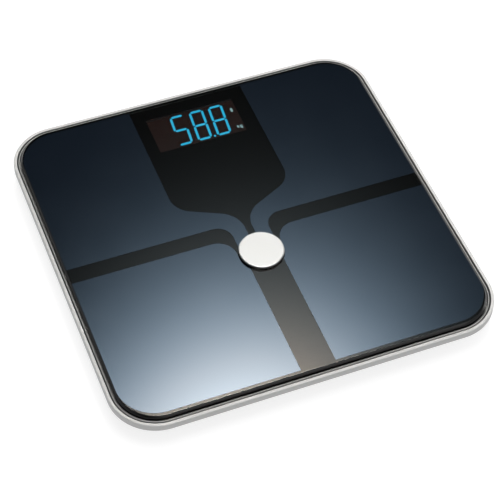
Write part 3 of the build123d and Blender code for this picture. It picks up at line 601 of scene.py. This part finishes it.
lit_resin = bare_material("lit_milky_resin")
place = add_node(lit_resin, "ShaderNodeTexCoord", {}, {})
axes = add_node(lit_resin, "ShaderNodeSeparateXYZ", {}, {"Vector": place.outputs["Object"]})
on_mark = add_node(
    lit_resin, "ShaderNodeMath", {"operation": "GREATER_THAN"}, {0: axes.outputs["X"], 1: marks_from_x}
)
glow = add_node(
    lit_resin,
    "ShaderNodeMapRange",
    {},
    {"Value": on_mark.outputs["Value"], "To Min": digit_glow, "To Max": mark_glow},
)
lamp = add_node(
    lit_resin,
    "ShaderNodeMix",
    {"data_type": "RGBA"},
    {"Factor": on_mark.outputs["Value"], "A": linear(lit_colour), "B": linear(mark_colour)},
)
resin = add_node(
    lit_resin,
    "ShaderNodeBsdfPrincipled",
    {},
    {
        "Base Color": linear(resin_colour),
        "Roughness": 0.5,
        "Emission Color": lamp.outputs["Result"],
        "Emission Strength": glow.outputs["Result"],
    },
)
close_material(lit_resin, resin)
dress(lit_resin, "display_segments")


# Unit button: a grey ABS cap in the tray's floor that pushes the switch on the board.
# It is polished in the tool, so it is a little shinier than the tray round it.
button_colours = ("#6E7174", "#63666A")
button_roughness = (0.28, 0.38)
button_cloud = 4 * mm

grey_abs = clouded(
    "polished_grey_abs",
    button_colours,
    patch=button_cloud,
    detail=3.0,
    roughness=button_roughness,
    look={"IOR": abs_ior},
)
dress(grey_abs, "unit_button", "switch_plunger")


# Leads: stranded copper in PVC, black for the load cells and electrodes, red for the battery.
# Extruded PVC has a soft shine and a faint waviness along the lead.
jackets = {
    "black": (("#1B1B1C", "#2A2A2B"), ("load_cell_leads", "electrode_leads")),
    "red": (("#A3201C", "#8A1916"), ("battery_leads",)),
}
jacket_wave = 6 * mm

for jacket_name, (jacket_colours, lead_names) in jackets.items():
    pvc_jacket = clouded(
        f"extruded_{jacket_name}_pvc",
        jacket_colours,
        patch=jacket_wave,
        detail=2.0,
        roughness=0.42,
        look={"IOR": 1.54},
    )
    dress(pvc_jacket, *lead_names)


# Foil tabs: copper foil under the glass that picks the current off the electrode films.
# Thin foil creases, so its shine breaks up.
copper_colours = ("#C67A52", "#8E5238")
foil_crease = 1.5 * mm
foil_relief = (0.6, 0.2 * mm)

copper_foil = clouded(
    "creased_copper_foil",
    copper_colours,
    patch=foil_crease,
    detail=4.0,
    roughness=0.3,
    look={"Metallic": 1.0},
    relief=foil_relief,
)
dress(copper_foil, "electrode_tabs")


# Foam: grey polyethylene pads under the glass, the tape round its edge and the badge's glue pad.
# Cut foam shows its open cells as small pits, darkened with painted shade.
foam_colour = "#3A3B3D"
foam_pit_shade_colour = "#232426"
foam_cell = 0.8 * mm
foam_pit_depth = 0.3 * mm

cell_foam = bare_material("cut_grey_foam")
place = add_node(cell_foam, "ShaderNodeTexCoord", {}, {})
pit = add_node(
    cell_foam, "ShaderNodeTexVoronoi", {}, {"Vector": place.outputs["Object"], "Scale": 1 / foam_cell}
)
# The pits get a darker colour: painted shade
tone = add_node(
    cell_foam,
    "ShaderNodeMix",
    {"data_type": "RGBA"},
    {"Factor": pit.outputs["Distance"], "A": linear(foam_pit_shade_colour), "B": linear(foam_colour)},
)
relief = add_node(
    cell_foam,
    "ShaderNodeBump",
    {},
    {"Height": pit.outputs["Distance"], "Strength": 0.5, "Distance": foam_pit_depth},
)
foam = add_node(
    cell_foam,
    "ShaderNodeBsdfPrincipled",
    {},
    {"Base Color": tone.outputs["Result"], "Roughness": 0.9, "Normal": relief.outputs["Normal"]},
)
close_material(cell_foam, foam)
dress(cell_foam, "glass_support_pads", "glass_tape", "badge_adhesive")


# Rim band: stainless strip rolled to an angle, bent round the corners and brushed along its length.
# The brushing draws long fine lines that follow the corners, so the band shines softly.
# Its crown is drawn a little brighter than its wall, a painted highlight where the surface faces up.
glass_half = 150 * mm
glass_corner_radius = 32 * mm
rim_inner = 3.1 * mm
rim_outer = 5.8 * mm
rim_bottom = 17.15 * mm
rim_top = 23.4 * mm
rim_flange = 1.0 * mm
flange_reach = -13 * mm
rim_outer_round = 0.8 * mm
rim_inner_round = 0.5 * mm
rim_hem_round = 0.35 * mm
hem_steps = 5
crown_steps = 8
inner_steps = 12
corner_steps = 32
rim_colour = "#B2B2B1"
rim_shade_colour = "#A6A6A6"
# The crown colour is a painted highlight on the upward-facing crown
painted_crown_highlight_colour = "#D6D6D5"
wall_slope = 0.1
crown_slope = 0.6
rim_roughness = (0.5, 0.62)
brush_line = 0.25 * mm
brush_length = 45 * mm
brush_depth = 0.05 * mm


def platform_path(growth):
    """Points round the platform's outline, moved outwards by growth."""
    points = []
    for corner_number, (x_side, y_side) in enumerate(((1, 1), (-1, 1), (-1, -1), (1, -1))):
        middle = [side * (glass_half - glass_corner_radius) for side in (x_side, y_side)]
        start = 90 * corner_number
        points += arc(middle, glass_corner_radius + growth, start, start + 90, corner_steps)
    return points


def swept_round_platform(name, profile, closed):
    """Mesh swept round the platform. The profile's points are (growth, height).

    An open profile is capped at both ends. The UV map gives metres along the path and the profile."""
    glass_path = platform_path(0)
    path_count = len(glass_path)
    vertices = []
    for growth, height in profile:
        vertices += [(x, y, height) for x, y in platform_path(growth)]
    strips = len(profile) if closed else len(profile) - 1
    profile_lengths = [0.0]
    for strip in range(strips):
        first = profile[strip]
        second = profile[(strip + 1) % len(profile)]
        profile_lengths.append(profile_lengths[-1] + math.dist(first, second))
    path_lengths = [0.0]
    for step in range(path_count):
        stride = math.dist(glass_path[step], glass_path[(step + 1) % path_count])
        path_lengths.append(path_lengths[-1] + stride)
    faces = []
    face_uvs = []
    for strip in range(strips):
        low = strip * path_count
        high = (strip + 1) % len(profile) * path_count
        for step in range(path_count):
            after = (step + 1) % path_count
            faces.append((low + step, low + after, high + after, high + step))
            left, right = path_lengths[step], path_lengths[step + 1]
            bottom, top = profile_lengths[strip], profile_lengths[strip + 1]
            face_uvs.append(((left, bottom), (right, bottom), (right, top), (left, top)))
    if not closed:
        first_cap = tuple(reversed(range(path_count)))
        last_cap = tuple(range((len(profile) - 1) * path_count, len(profile) * path_count))
        for cap in (first_cap, last_cap):
            faces.append(cap)
            face_uvs.append([vertices[corner][:2] for corner in cap])
    mesh = bpy.data.meshes.new(name)
    mesh.from_pydata(vertices, [], faces)
    uv_layer = mesh.uv_layers.new(name="along_and_across")
    for polygon, uvs in zip(mesh.polygons, face_uvs):
        for loop, uv in zip(polygon.loop_indices, uvs):
            uv_layer.data[loop].uv = uv
    shade(mesh)
    return mesh


# Real brush lines are a few hundredths of a millimetre wide, so they are drawn coarser
brushed_steel = bare_material("brushed_stainless_steel")
along = add_node(brushed_steel, "ShaderNodeUVMap", {"uv_map": "along_and_across"}, {})
stretched = add_node(
    brushed_steel,
    "ShaderNodeMapping",
    {},
    {"Vector": along.outputs["UV"], "Scale": (1 / brush_length, 1 / brush_line, 1.0)},
)
brush = add_node(
    brushed_steel,
    "ShaderNodeTexNoise",
    {},
    {"Vector": stretched.outputs["Vector"], "Scale": 1.0, "Detail": 5.0, "Roughness": 0.6},
)
tone = add_node(
    brushed_steel,
    "ShaderNodeMix",
    {"data_type": "RGBA"},
    {"Factor": brush.outputs["Fac"], "A": linear(rim_colour), "B": linear(rim_shade_colour)},
)
# Painted highlight: faces that turn upwards are mixed towards the brighter crown colour
side = add_node(brushed_steel, "ShaderNodeNewGeometry", {}, {})
slope = add_node(brushed_steel, "ShaderNodeSeparateXYZ", {}, {"Vector": side.outputs["Normal"]})
painted_crown_highlight = add_node(
    brushed_steel,
    "ShaderNodeMapRange",
    {},
    {"Value": slope.outputs["Z"], "From Min": wall_slope, "From Max": crown_slope},
)
brushed_tone_and_painted_highlight = add_node(
    brushed_steel,
    "ShaderNodeMix",
    {"data_type": "RGBA"},
    {"Factor": painted_crown_highlight.outputs["Result"], "A": tone.outputs["Result"], "B": linear(painted_crown_highlight_colour)},
)
gloss = add_node(
    brushed_steel,
    "ShaderNodeMapRange",
    {},
    {"Value": brush.outputs["Fac"], "To Min": rim_roughness[0], "To Max": rim_roughness[1]},
)
relief = add_node(
    brushed_steel,
    "ShaderNodeBump",
    {},
    {"Height": brush.outputs["Fac"], "Strength": 0.12, "Distance": brush_depth},
)
metal = add_node(
    brushed_steel,
    "ShaderNodeBsdfPrincipled",
    {},
    {
        "Base Color": brushed_tone_and_painted_highlight.outputs["Result"],
        "Metallic": 1.0,
        "Roughness": gloss.outputs["Result"],
        "Normal": relief.outputs["Normal"],
    },
)
close_material(brushed_steel, metal)

rim_profile = [(flange_reach, rim_bottom + rim_flange), (flange_reach, rim_bottom)]
hem = (rim_outer - rim_hem_round, rim_bottom + rim_hem_round)
outer_crown = (rim_outer - rim_outer_round, rim_top - rim_outer_round)
inner_crown = (rim_inner + rim_inner_round, rim_top - rim_inner_round)
rim_profile += arc(hem, rim_hem_round, -90, 0, hem_steps)
rim_profile += arc(outer_crown, rim_outer_round, 0, 90, crown_steps)
rim_profile += arc(inner_crown, rim_inner_round, 90, 180, inner_steps)
rim_profile += [(rim_inner, rim_bottom + rim_flange)]
rim_mesh = swept_round_platform("rim_band_strip", rim_profile, closed=True)
new_piece("brushed_rim_band", rim_mesh, brushed_steel, ["rim_band"])


# Rim seal: a grey silicone cord pressed into the groove between the band and the bezel.
# It sits just under the lip, matt and a little cloudy; its colour is darkened as painted shade, so the
# groove is a soft dark line.
seal_inner = 2.3 * mm
seal_outer = 3.0 * mm
seal_bottom = 18.15 * mm
seal_top = 22.6 * mm
seal_round = 0.3 * mm
seal_steps = 6
# The seal colours are darkened as painted shade for the groove
seal_colours_with_painted_shade = ("#2A2A2A", "#222222")
seal_cloud = 8 * mm

grey_silicone = clouded(
    "moulded_grey_silicone",
    seal_colours_with_painted_shade,
    patch=seal_cloud,
    detail=3.0,
    roughness=0.6,
    look={"IOR": silicone_ior},
)

seal_profile = [(seal_inner, seal_bottom), (seal_outer, seal_bottom)]
seal_profile += arc((seal_outer - seal_round, seal_top - seal_round), seal_round, 0, 90, seal_steps)
seal_profile += arc((seal_inner + seal_round, seal_top - seal_round), seal_round, 90, 180, seal_steps)
seal_mesh = swept_round_platform("rim_seal_cord", seal_profile, closed=True)
new_piece("silicone_rim_seal", seal_mesh, grey_silicone, ["rim_seal"])


# Bezel: a stainless pressing whose flange carries the glass and whose lip frames its edge.
# The lip is satin polished, with a faint orange-peel ripple left by the press.
bezel_inner = 0.8 * mm
bezel_outer = 2.2 * mm
bezel_bottom = 18.15 * mm
bezel_flange_top = 19.35 * mm
bezel_top = 23.0 * mm
bezel_round = 0.65 * mm
bezel_steps = 8
pressing_colour = "#B4B4B2"
pressing_roughness = (0.5, 0.62)
press_ripple = 3 * mm
ripple_depth = 0.05 * mm

pressed_steel = bare_material("satin_pressed_stainless_steel")
place = add_node(pressed_steel, "ShaderNodeTexCoord", {}, {})
ripple = add_node(
    pressed_steel,
    "ShaderNodeTexNoise",
    {},
    {"Vector": place.outputs["Object"], "Scale": 1 / press_ripple, "Detail": 2.0},
)
relief = add_node(
    pressed_steel,
    "ShaderNodeBump",
    {},
    {"Height": ripple.outputs["Fac"], "Strength": 0.1, "Distance": ripple_depth},
)
gloss = add_node(
    pressed_steel,
    "ShaderNodeMapRange",
    {},
    {"Value": ripple.outputs["Fac"], "To Min": pressing_roughness[0], "To Max": pressing_roughness[1]},
)
metal = add_node(
    pressed_steel,
    "ShaderNodeBsdfPrincipled",
    {},
    {
        "Base Color": linear(pressing_colour),
        "Metallic": 1.0,
        "Roughness": gloss.outputs["Result"],
        "Normal": relief.outputs["Normal"],
    },
)
close_material(pressed_steel, metal)

bezel_profile = [(flange_reach, bezel_flange_top), (flange_reach, bezel_bottom)]
bezel_profile += [(bezel_outer, bezel_bottom)]
lip = bezel_top - bezel_round
bezel_profile += arc((bezel_outer - bezel_round, lip), bezel_round, 0, 90, bezel_steps)
bezel_profile += arc((bezel_inner + bezel_round, lip), bezel_round, 90, 180, bezel_steps)
bezel_profile += [(bezel_inner, bezel_flange_top)]
bezel_mesh = swept_round_platform("bezel_pressing", bezel_profile, closed=True)
new_piece("pressed_bezel", bezel_mesh, pressed_steel, ["bezel_ring"])


# Glass plate: 6 mm float glass, its edges bevelled and polished before it is tempered.
# It is clear with a faint green cast, and its bevel pulls thin lines of light round the platform.
glass_bottom = 20 * mm
glass_top = 26 * mm
glass_bevel = 1.5 * mm
bevel_softness = 0.25 * mm
glass_land = 0.3 * mm
bevel_turn = 45
bevel_steps = 4
glass_ior = 1.52
glass_colour = "#F1F8F5"
glass_sheen = "#FFFBF4"
edge_colour = "#060606"
flat_normal = 0.9995

float_glass = bare_material("tempered_float_glass")
clear = add_node(
    float_glass,
    "ShaderNodeBsdfPrincipled",
    {},
    {
        "Base Color": linear(glass_colour),
        "Roughness": 0.0,
        "IOR": glass_ior,
        "Specular Tint": linear(glass_sheen),
        "Transmission Weight": 1.0,
    },
)
close_material(float_glass, clear)

# The bevelled edge is painted, so it looks like black gloss and shows no light through the plate
black_gloss_edge = bare_material("blacked_bevelled_edge")
gloss_black = add_node(
    black_gloss_edge,
    "ShaderNodeBsdfPrincipled",
    {},
    {
        "Base Color": linear(edge_colour),
        "Roughness": 0.06,
        "IOR": glass_ior,
    },
)
close_material(black_gloss_edge, gloss_black)

tangent = bevel_softness * math.tan(math.radians(bevel_turn / 2))
inner_corner = -glass_bevel - tangent
outer_corner = glass_bevel + tangent
bevel_corners = (
    (inner_corner, glass_bottom + bevel_softness, -2 * bevel_turn),
    (-bevel_softness, glass_bottom + outer_corner, -bevel_turn),
    (-bevel_softness, glass_top - outer_corner, 0),
    (inner_corner, glass_top - bevel_softness, bevel_turn),
)
glass_profile = [(inner_corner - glass_land, glass_bottom)]
for growth, level, start in bevel_corners:
    glass_profile += arc((growth, level), bevel_softness, start, start + bevel_turn, bevel_steps)
glass_profile += [(inner_corner - glass_land, glass_top)]
glass_mesh = swept_round_platform("glass_plate_sheet", glass_profile, closed=False)
new_piece("bevelled_glass", glass_mesh, float_glass, ["glass_plate"])
glass_mesh.materials.append(black_gloss_edge)
for polygon in glass_mesh.polygons:
    if abs(polygon.normal.z) < flat_normal:
        polygon.material_index = 1


# Back print: black ceramic ink fired on to the back of the glass, open at the display.
# It wets the glass with no air between, so the channels look deep black, not grey.
ink_colours = ("#050505", "#080808")
ink_bite = 0.02 * mm
ink_mottle = 20 * mm
opening_width = 76 * mm
opening_height = 38 * mm
opening_y = 117.2 * mm

fired_ink = clouded(
    "fired_black_ink",
    ink_colours,
    patch=ink_mottle,
    detail=3.0,
    roughness=0.8,
    look={"Specular IOR Level": 0.0},
)

low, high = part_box("back_print")
print_edge = high.x - glass_half
outline = platform_path(print_edge)
opening = [
    (side * opening_width / 2, opening_y + end * opening_height / 2)
    for side, end in ((1, 1), (-1, 1), (-1, -1), (1, -1))
]
outline_count = len(outline)
opening_count = len(opening)
cut_starts = [corner * (corner_steps + 1) + corner_steps // 2 for corner in range(opening_count)]
levels = (low.z, glass_bottom + ink_bite)
print_vertices = [(x, y, z) for z in levels for x, y in outline + opening]
level_count = outline_count + opening_count
print_faces = []
for number in range(opening_count):
    after = (number + 1) % opening_count
    first = cut_starts[number]
    last = cut_starts[after]
    run = [first]
    while run[-1] != last:
        run.append((run[-1] + 1) % outline_count)
    field = run + [outline_count + after, outline_count + number]
    print_faces.append([corner + level_count for corner in field])
    print_faces.append(list(reversed(field)))
for ring_start, ring_count, outward in ((0, outline_count, True), (outline_count, opening_count, False)):
    for step in range(ring_count):
        one = ring_start + step
        two = ring_start + (step + 1) % ring_count
        wall = [one, two, two + level_count, one + level_count]
        print_faces.append(wall if outward else list(reversed(wall)))
print_mesh = bpy.data.meshes.new("back_print_ink")
print_mesh.from_pydata(print_vertices, [], print_faces)
new_piece("fired_back_print", print_mesh, fired_ink, ["back_print"])


# Display filter: a pane of smoked brown acrylic that fills the opening of the print.
# It hides the housing behind it and lets the lit segments through.
filter_colours = ("#1C0D0A", "#150908")
filter_cloud = 30 * mm

smoked_acrylic = clouded(
    "smoked_brown_acrylic",
    filter_colours,
    patch=filter_cloud,
    detail=1.0,
    roughness=0.3,
    look={"Specular IOR Level": 0.0, "Alpha": 0.25},
)
dress(smoked_acrylic, "display_filter")


# Electrode films: four fields of sputtered metal oxide that carry the measuring current.
# The coating is thin and dark with a blue-grey mirror sheen stronger than bare glass.
film_colours = ("#060D16", "#080F18")
film_sheen = "#D9ECFF"
film_roughness = (0.05, 0.09)
film_cloud = 35 * mm

oxide_film = clouded(
    "sputtered_oxide_film",
    film_colours,
    patch=film_cloud,
    detail=2.0,
    roughness=film_roughness,
    look={"IOR": 2.08, "Specular Tint": linear(film_sheen)},
)
dress(oxide_film, *[f"electrode_film_{corner}" for corner in corners])


# Badge: a solid stainless disc, turned on a lathe and glued to the glass where the four fields meet.
# Its face is a soft satin with faint rings, and its rounded edge is polished bright.
badge_radius = 18.0 * mm
badge_edge_radius = 0.8 * mm
badge_edge_steps = 10
badge_foot_chamfer = 0.25 * mm
satin_radius = 17.0 * mm
badge_colour = "#C8CACA"
satin_roughness = (0.38, 0.48)
edge_roughness = 0.1
turning_pitch = 0.7 * mm
turning_depth = 0.05 * mm

low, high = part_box("centre_badge")
badge_middle = Vector(((low.x + high.x) / 2, (low.y + high.y) / 2, low.z))
badge_height = high.z - low.z

# Real turning lines are about a tenth as wide, too fine to show, so they are drawn coarser
satin_steel = bare_material("turned_satin_steel")
place = add_node(satin_steel, "ShaderNodeTexCoord", {}, {})
centred = add_node(
    satin_steel,
    "ShaderNodeVectorMath",
    {"operation": "SUBTRACT"},
    {0: place.outputs["Object"], 1: tuple(badge_middle)},
)
flat = add_node(
    satin_steel,
    "ShaderNodeVectorMath",
    {"operation": "MULTIPLY"},
    {0: centred.outputs["Vector"], 1: (1.0, 1.0, 0.0)},
)
from_axis = add_node(
    satin_steel, "ShaderNodeVectorMath", {"operation": "LENGTH"}, {0: flat.outputs["Vector"]}
)
turning = add_node(
    satin_steel,
    "ShaderNodeTexNoise",
    {"noise_dimensions": "1D"},
    {"W": from_axis.outputs["Value"], "Scale": 1 / turning_pitch, "Detail": 4.0},
)
satin_gloss = add_node(
    satin_steel,
    "ShaderNodeMapRange",
    {},
    {"Value": turning.outputs["Fac"], "To Min": satin_roughness[0], "To Max": satin_roughness[1]},
)
on_edge = add_node(
    satin_steel,
    "ShaderNodeMapRange",
    {"interpolation_type": "SMOOTHSTEP"},
    {
        "Value": from_axis.outputs["Value"],
        "From Min": satin_radius,
        "From Max": satin_radius + badge_edge_radius / 2,
    },
)
gloss = add_node(
    satin_steel,
    "ShaderNodeMix",
    {"data_type": "FLOAT"},
    {"Factor": on_edge.outputs["Result"], "A": satin_gloss.outputs["Result"], "B": edge_roughness},
)
relief = add_node(
    satin_steel,
    "ShaderNodeBump",
    {},
    {"Height": turning.outputs["Fac"], "Strength": 0.06, "Distance": turning_depth},
)
metal = add_node(
    satin_steel,
    "ShaderNodeBsdfPrincipled",
    {},
    {
        "Base Color": linear(badge_colour),
        "Metallic": 1.0,
        "Roughness": gloss.outputs["Result"],
        "Normal": relief.outputs["Normal"],
    },
)
close_material(satin_steel, metal)

badge_profile = [(0, 0), (badge_radius - badge_foot_chamfer, 0), (badge_radius, badge_foot_chamfer)]
badge_rim = (badge_radius - badge_edge_radius, badge_height - badge_edge_radius)
badge_profile += arc(badge_rim, badge_edge_radius, 0, 90, badge_edge_steps)
badge_profile += [(satin_radius, badge_height), (0, badge_height)]
badge_mesh = turned("centre_badge_disc", badge_profile)
badge_mesh.transform(Matrix.Translation(badge_middle))
new_piece("satin_centre_badge", badge_mesh, satin_steel, ["centre_badge"])


# Stage: a plain white floor that catches the soft shadow, seen only from above.
# It glows white to the camera and in reflections, and lights the scale as white paper would.
floor_half = 6.0
floor_colour = "#FCFCFC"
floor_shadow_colour = "#979797"
paper_glow = 0.79

white_paper = bare_material("white_paper_floor")
rays = add_node(white_paper, "ShaderNodeLightPath", {}, {})
mirrored = add_node(
    white_paper,
    "ShaderNodeMath",
    {"operation": "MAXIMUM"},
    {0: rays.outputs["Is Glossy Ray"], 1: rays.outputs["Is Transmission Ray"]},
)
seen = add_node(
    white_paper,
    "ShaderNodeMath",
    {"operation": "MAXIMUM"},
    {0: rays.outputs["Is Camera Ray"], 1: mirrored.outputs["Value"]},
)
paper = add_node(white_paper, "ShaderNodeBsdfDiffuse", {}, {"Color": linear(floor_colour)})
shadow_catcher = add_node(white_paper, "ShaderNodeBsdfDiffuse", {}, {"Color": linear(floor_shadow_colour)})
glow = add_node(white_paper, "ShaderNodeEmission", {}, {"Strength": paper_glow})
lit_paper = add_node(
    white_paper,
    "ShaderNodeAddShader",
    {},
    {0: shadow_catcher.outputs["BSDF"], 1: glow.outputs["Emission"]},
)
front = add_node(
    white_paper,
    "ShaderNodeMixShader",
    {},
    {0: seen.outputs["Value"], 1: paper.outputs["BSDF"], 2: lit_paper.outputs["Shader"]},
)
facing = add_node(white_paper, "ShaderNodeNewGeometry", {}, {})
clear_back = add_node(white_paper, "ShaderNodeBsdfTransparent", {}, {})
sheet = add_node(
    white_paper,
    "ShaderNodeMixShader",
    {},
    {0: facing.outputs["Backfacing"], 1: front.outputs["Shader"], 2: clear_back.outputs["BSDF"]},
)
close_material(white_paper, sheet)

floor_mesh = bpy.data.meshes.new("studio_floor")
floor_corners = [(x * floor_half, y * floor_half, 0) for x, y in ((-1, -1), (1, -1), (1, 1), (-1, 1))]
floor_mesh.from_pydata(floor_corners, [], [(0, 1, 2, 3)])
floor_mesh.materials.append(white_paper)
floor = bpy.data.objects.new("studio_floor", floor_mesh)
bpy.context.scene.collection.objects.link(floor)


# Studio: lit walls behind and in front that fade to a dark ceiling, a broad soft light overhead and
# one bright window high behind the scale. These are what the glass and metal mirror.
window_azimuth = 24.0
window_elevation = 62.0
window_spread_across = 3.2
window_spread_up = 4.55
window_radiance = 22.4
window_core = "#FFF8F1"
window_halo = "#DCF2FF"
window_core_share = 0.25
overhead_azimuth = 155.0
overhead_elevation = 70.0
overhead_radiance = 1.0
overhead_fade_angle = 47.0
overhead_full_angle = 34.0
side_level = 0.42
sweep_top = 0.25
sweep_end = 0.62
ceiling_level = 0.03
backdrop_colour = "#FFFFFF"
# A wall has an azimuth, a level, and the cosines at which its light sets in and is full
rear_wall = (35.0, 1.8, 0.3, 0.7)
front_wall = (160.0, 0.2, 0.7, 0.92)


def heading(azimuth, elevation):
    """Unit vector towards an azimuth, in degrees from +Y towards +X, and an elevation."""
    turn = math.radians(azimuth)
    lift = math.radians(elevation)
    return Vector((math.sin(turn) * math.cos(lift), math.cos(turn) * math.cos(lift), math.sin(lift)))


studio = bpy.data.worlds.new("soft_studio")
studio.use_nodes = True
studio.node_tree.nodes.clear()
bpy.context.scene.world = studio
window_axis = heading(window_azimuth, window_elevation)
across_axis = heading(window_azimuth + 90, 0)
up_axis = across_axis.cross(window_axis)
spread_across = math.radians(window_spread_across) * math.sqrt(2)
spread_up = math.radians(window_spread_up) * math.sqrt(2)

sky = add_node(studio, "ShaderNodeTexCoord", {}, {})
across = add_node(
    studio,
    "ShaderNodeVectorMath",
    {"operation": "DOT_PRODUCT"},
    {0: sky.outputs["Generated"], 1: tuple(across_axis / spread_across)},
)
upward = add_node(
    studio,
    "ShaderNodeVectorMath",
    {"operation": "DOT_PRODUCT"},
    {0: sky.outputs["Generated"], 1: tuple(up_axis / spread_up)},
)
offset = add_node(
    studio, "ShaderNodeCombineXYZ", {}, {"X": across.outputs["Value"], "Y": upward.outputs["Value"]}
)
square = add_node(
    studio,
    "ShaderNodeVectorMath",
    {"operation": "DOT_PRODUCT"},
    {0: offset.outputs["Vector"], 1: offset.outputs["Vector"]},
)
fade = add_node(
    studio, "ShaderNodeMath", {"operation": "POWER"}, {0: math.exp(-1), 1: square.outputs["Value"]}
)
height = add_node(studio, "ShaderNodeSeparateXYZ", {}, {"Vector": sky.outputs["Generated"]})
above = add_node(
    studio, "ShaderNodeMath", {"operation": "GREATER_THAN"}, {0: height.outputs["Z"], 1: 0.0}
)
strength = add_node(
    studio,
    "ShaderNodeMath",
    {"operation": "MULTIPLY"},
    {0: fade.outputs["Value"], 1: above.outputs["Value"]},
)
core = add_node(
    studio, "ShaderNodeMapRange", {}, {"Value": strength.outputs["Value"], "From Max": window_core_share}
)
warmth = add_node(
    studio,
    "ShaderNodeMix",
    {"data_type": "RGBA"},
    {"Factor": core.outputs["Result"], "A": linear(window_halo), "B": linear(window_core)},
)
window_strength = add_node(
    studio,
    "ShaderNodeMath",
    {"operation": "MULTIPLY"},
    {0: strength.outputs["Value"], 1: window_radiance},
)
window_light = add_node(
    studio,
    "ShaderNodeVectorMath",
    {"operation": "SCALE"},
    {0: warmth.outputs["Result"], "Scale": window_strength.outputs["Value"]},
)
to_overhead = add_node(
    studio,
    "ShaderNodeVectorMath",
    {"operation": "DOT_PRODUCT"},
    {0: sky.outputs["Generated"], 1: tuple(heading(overhead_azimuth, overhead_elevation))},
)
overhead = add_node(
    studio,
    "ShaderNodeMapRange",
    {"interpolation_type": "SMOOTHSTEP"},
    {
        "Value": to_overhead.outputs["Value"],
        "From Min": math.cos(math.radians(overhead_fade_angle)),
        "From Max": math.cos(math.radians(overhead_full_angle)),
        "To Min": 0.0,
        "To Max": overhead_radiance,
    },
)
low_room = side_level
for wall_azimuth, wall_level, wall_fade, wall_full in (rear_wall, front_wall):
    to_wall = add_node(
        studio,
        "ShaderNodeVectorMath",
        {"operation": "DOT_PRODUCT"},
        {0: sky.outputs["Generated"], 1: tuple(heading(wall_azimuth, 0))},
    )
    wall = add_node(
        studio,
        "ShaderNodeMapRange",
        {"interpolation_type": "SMOOTHSTEP"},
        {
            "Value": to_wall.outputs["Value"],
            "From Min": wall_fade,
            "From Max": wall_full,
            "To Min": 0.0,
            "To Max": wall_level,
        },
    )
    with_wall = add_node(
        studio, "ShaderNodeMath", {"operation": "ADD"}, {0: low_room, 1: wall.outputs["Result"]}
    )
    low_room = with_wall.outputs["Value"]
sweep = add_node(
    studio,
    "ShaderNodeMapRange",
    {"interpolation_type": "SMOOTHSTEP"},
    {
        "Value": height.outputs["Z"],
        "From Min": sweep_top,
        "From Max": sweep_end,
        "To Min": low_room,
        "To Max": ceiling_level,
    },
)
white_light = add_node(
    studio,
    "ShaderNodeMath",
    {"operation": "ADD"},
    {0: overhead.outputs["Result"], 1: sweep.outputs["Result"]},
)
room = add_node(
    studio,
    "ShaderNodeVectorMath",
    {"operation": "ADD"},
    {0: window_light.outputs["Vector"], 1: white_light.outputs["Value"]},
)
mirrored_room = add_node(studio, "ShaderNodeBackground", {}, {"Color": room.outputs["Vector"]})
white_wall = add_node(studio, "ShaderNodeBackground", {}, {"Color": linear(backdrop_colour)})
rays = add_node(studio, "ShaderNodeLightPath", {}, {})
backdrop = add_node(
    studio,
    "ShaderNodeMixShader",
    {},
    {
        0: rays.outputs["Is Camera Ray"],
        1: mirrored_room.outputs["Background"],
        2: white_wall.outputs["Background"],
    },
)
add_node(studio, "ShaderNodeOutputWorld", {}, {"Surface": backdrop.outputs["Shader"]})

# Overhead softbox: fills the shadows, and is hidden from reflections so that the glass doesn't mirror it
softbox_size = 0.8
softbox_height = 1.6
softbox_watts = 9.0
softbox = bpy.data.lights.new("overhead_softbox", "AREA")
softbox.size = softbox_size
softbox.energy = softbox_watts
softbox_lamp = bpy.data.objects.new("overhead_softbox", softbox)
softbox_lamp.location = (0, 0, softbox_height)
softbox_lamp.visible_glossy = False
softbox_lamp.visible_transmission = False
bpy.context.scene.collection.objects.link(softbox_lamp)


# Camera: in front of the scale, a little to its left and looking down, with a long lens.
# Its place is measured along its own axes from the middle of the glass.
image_pixels = 500
focal_pixels = 1710.0
camera_azimuth = math.radians(-22.99)
camera_elevation = math.radians(50.68)
camera_roll = math.radians(2.21)
camera_offset = Vector((2.17, -20.78, 1355.31)) * mm
sensor_width = 36.0

backward = Vector(
    (
        math.sin(camera_azimuth) * math.cos(camera_elevation),
        -math.cos(camera_azimuth) * math.cos(camera_elevation),
        math.sin(camera_elevation),
    )
)
level_right = Vector((math.cos(camera_azimuth), math.sin(camera_azimuth), 0))
level_up = backward.cross(level_right)
right = math.cos(camera_roll) * level_right + math.sin(camera_roll) * level_up
up = backward.cross(right)
turn_matrix = Matrix((right, up, backward)).transposed()
lens = bpy.data.cameras.new("front_camera")
lens.sensor_width = sensor_width
lens.lens = sensor_width * focal_pixels / image_pixels
camera = bpy.data.objects.new("front_camera", lens)
camera_place = Vector((0, 0, glass_top)) + turn_matrix @ camera_offset
camera.matrix_world = Matrix.Translation(camera_place) @ turn_matrix.to_4x4()
bpy.context.scene.collection.objects.link(camera)
bpy.context.scene.camera = camera
bpy.context.scene.view_settings.view_transform = "Standard"
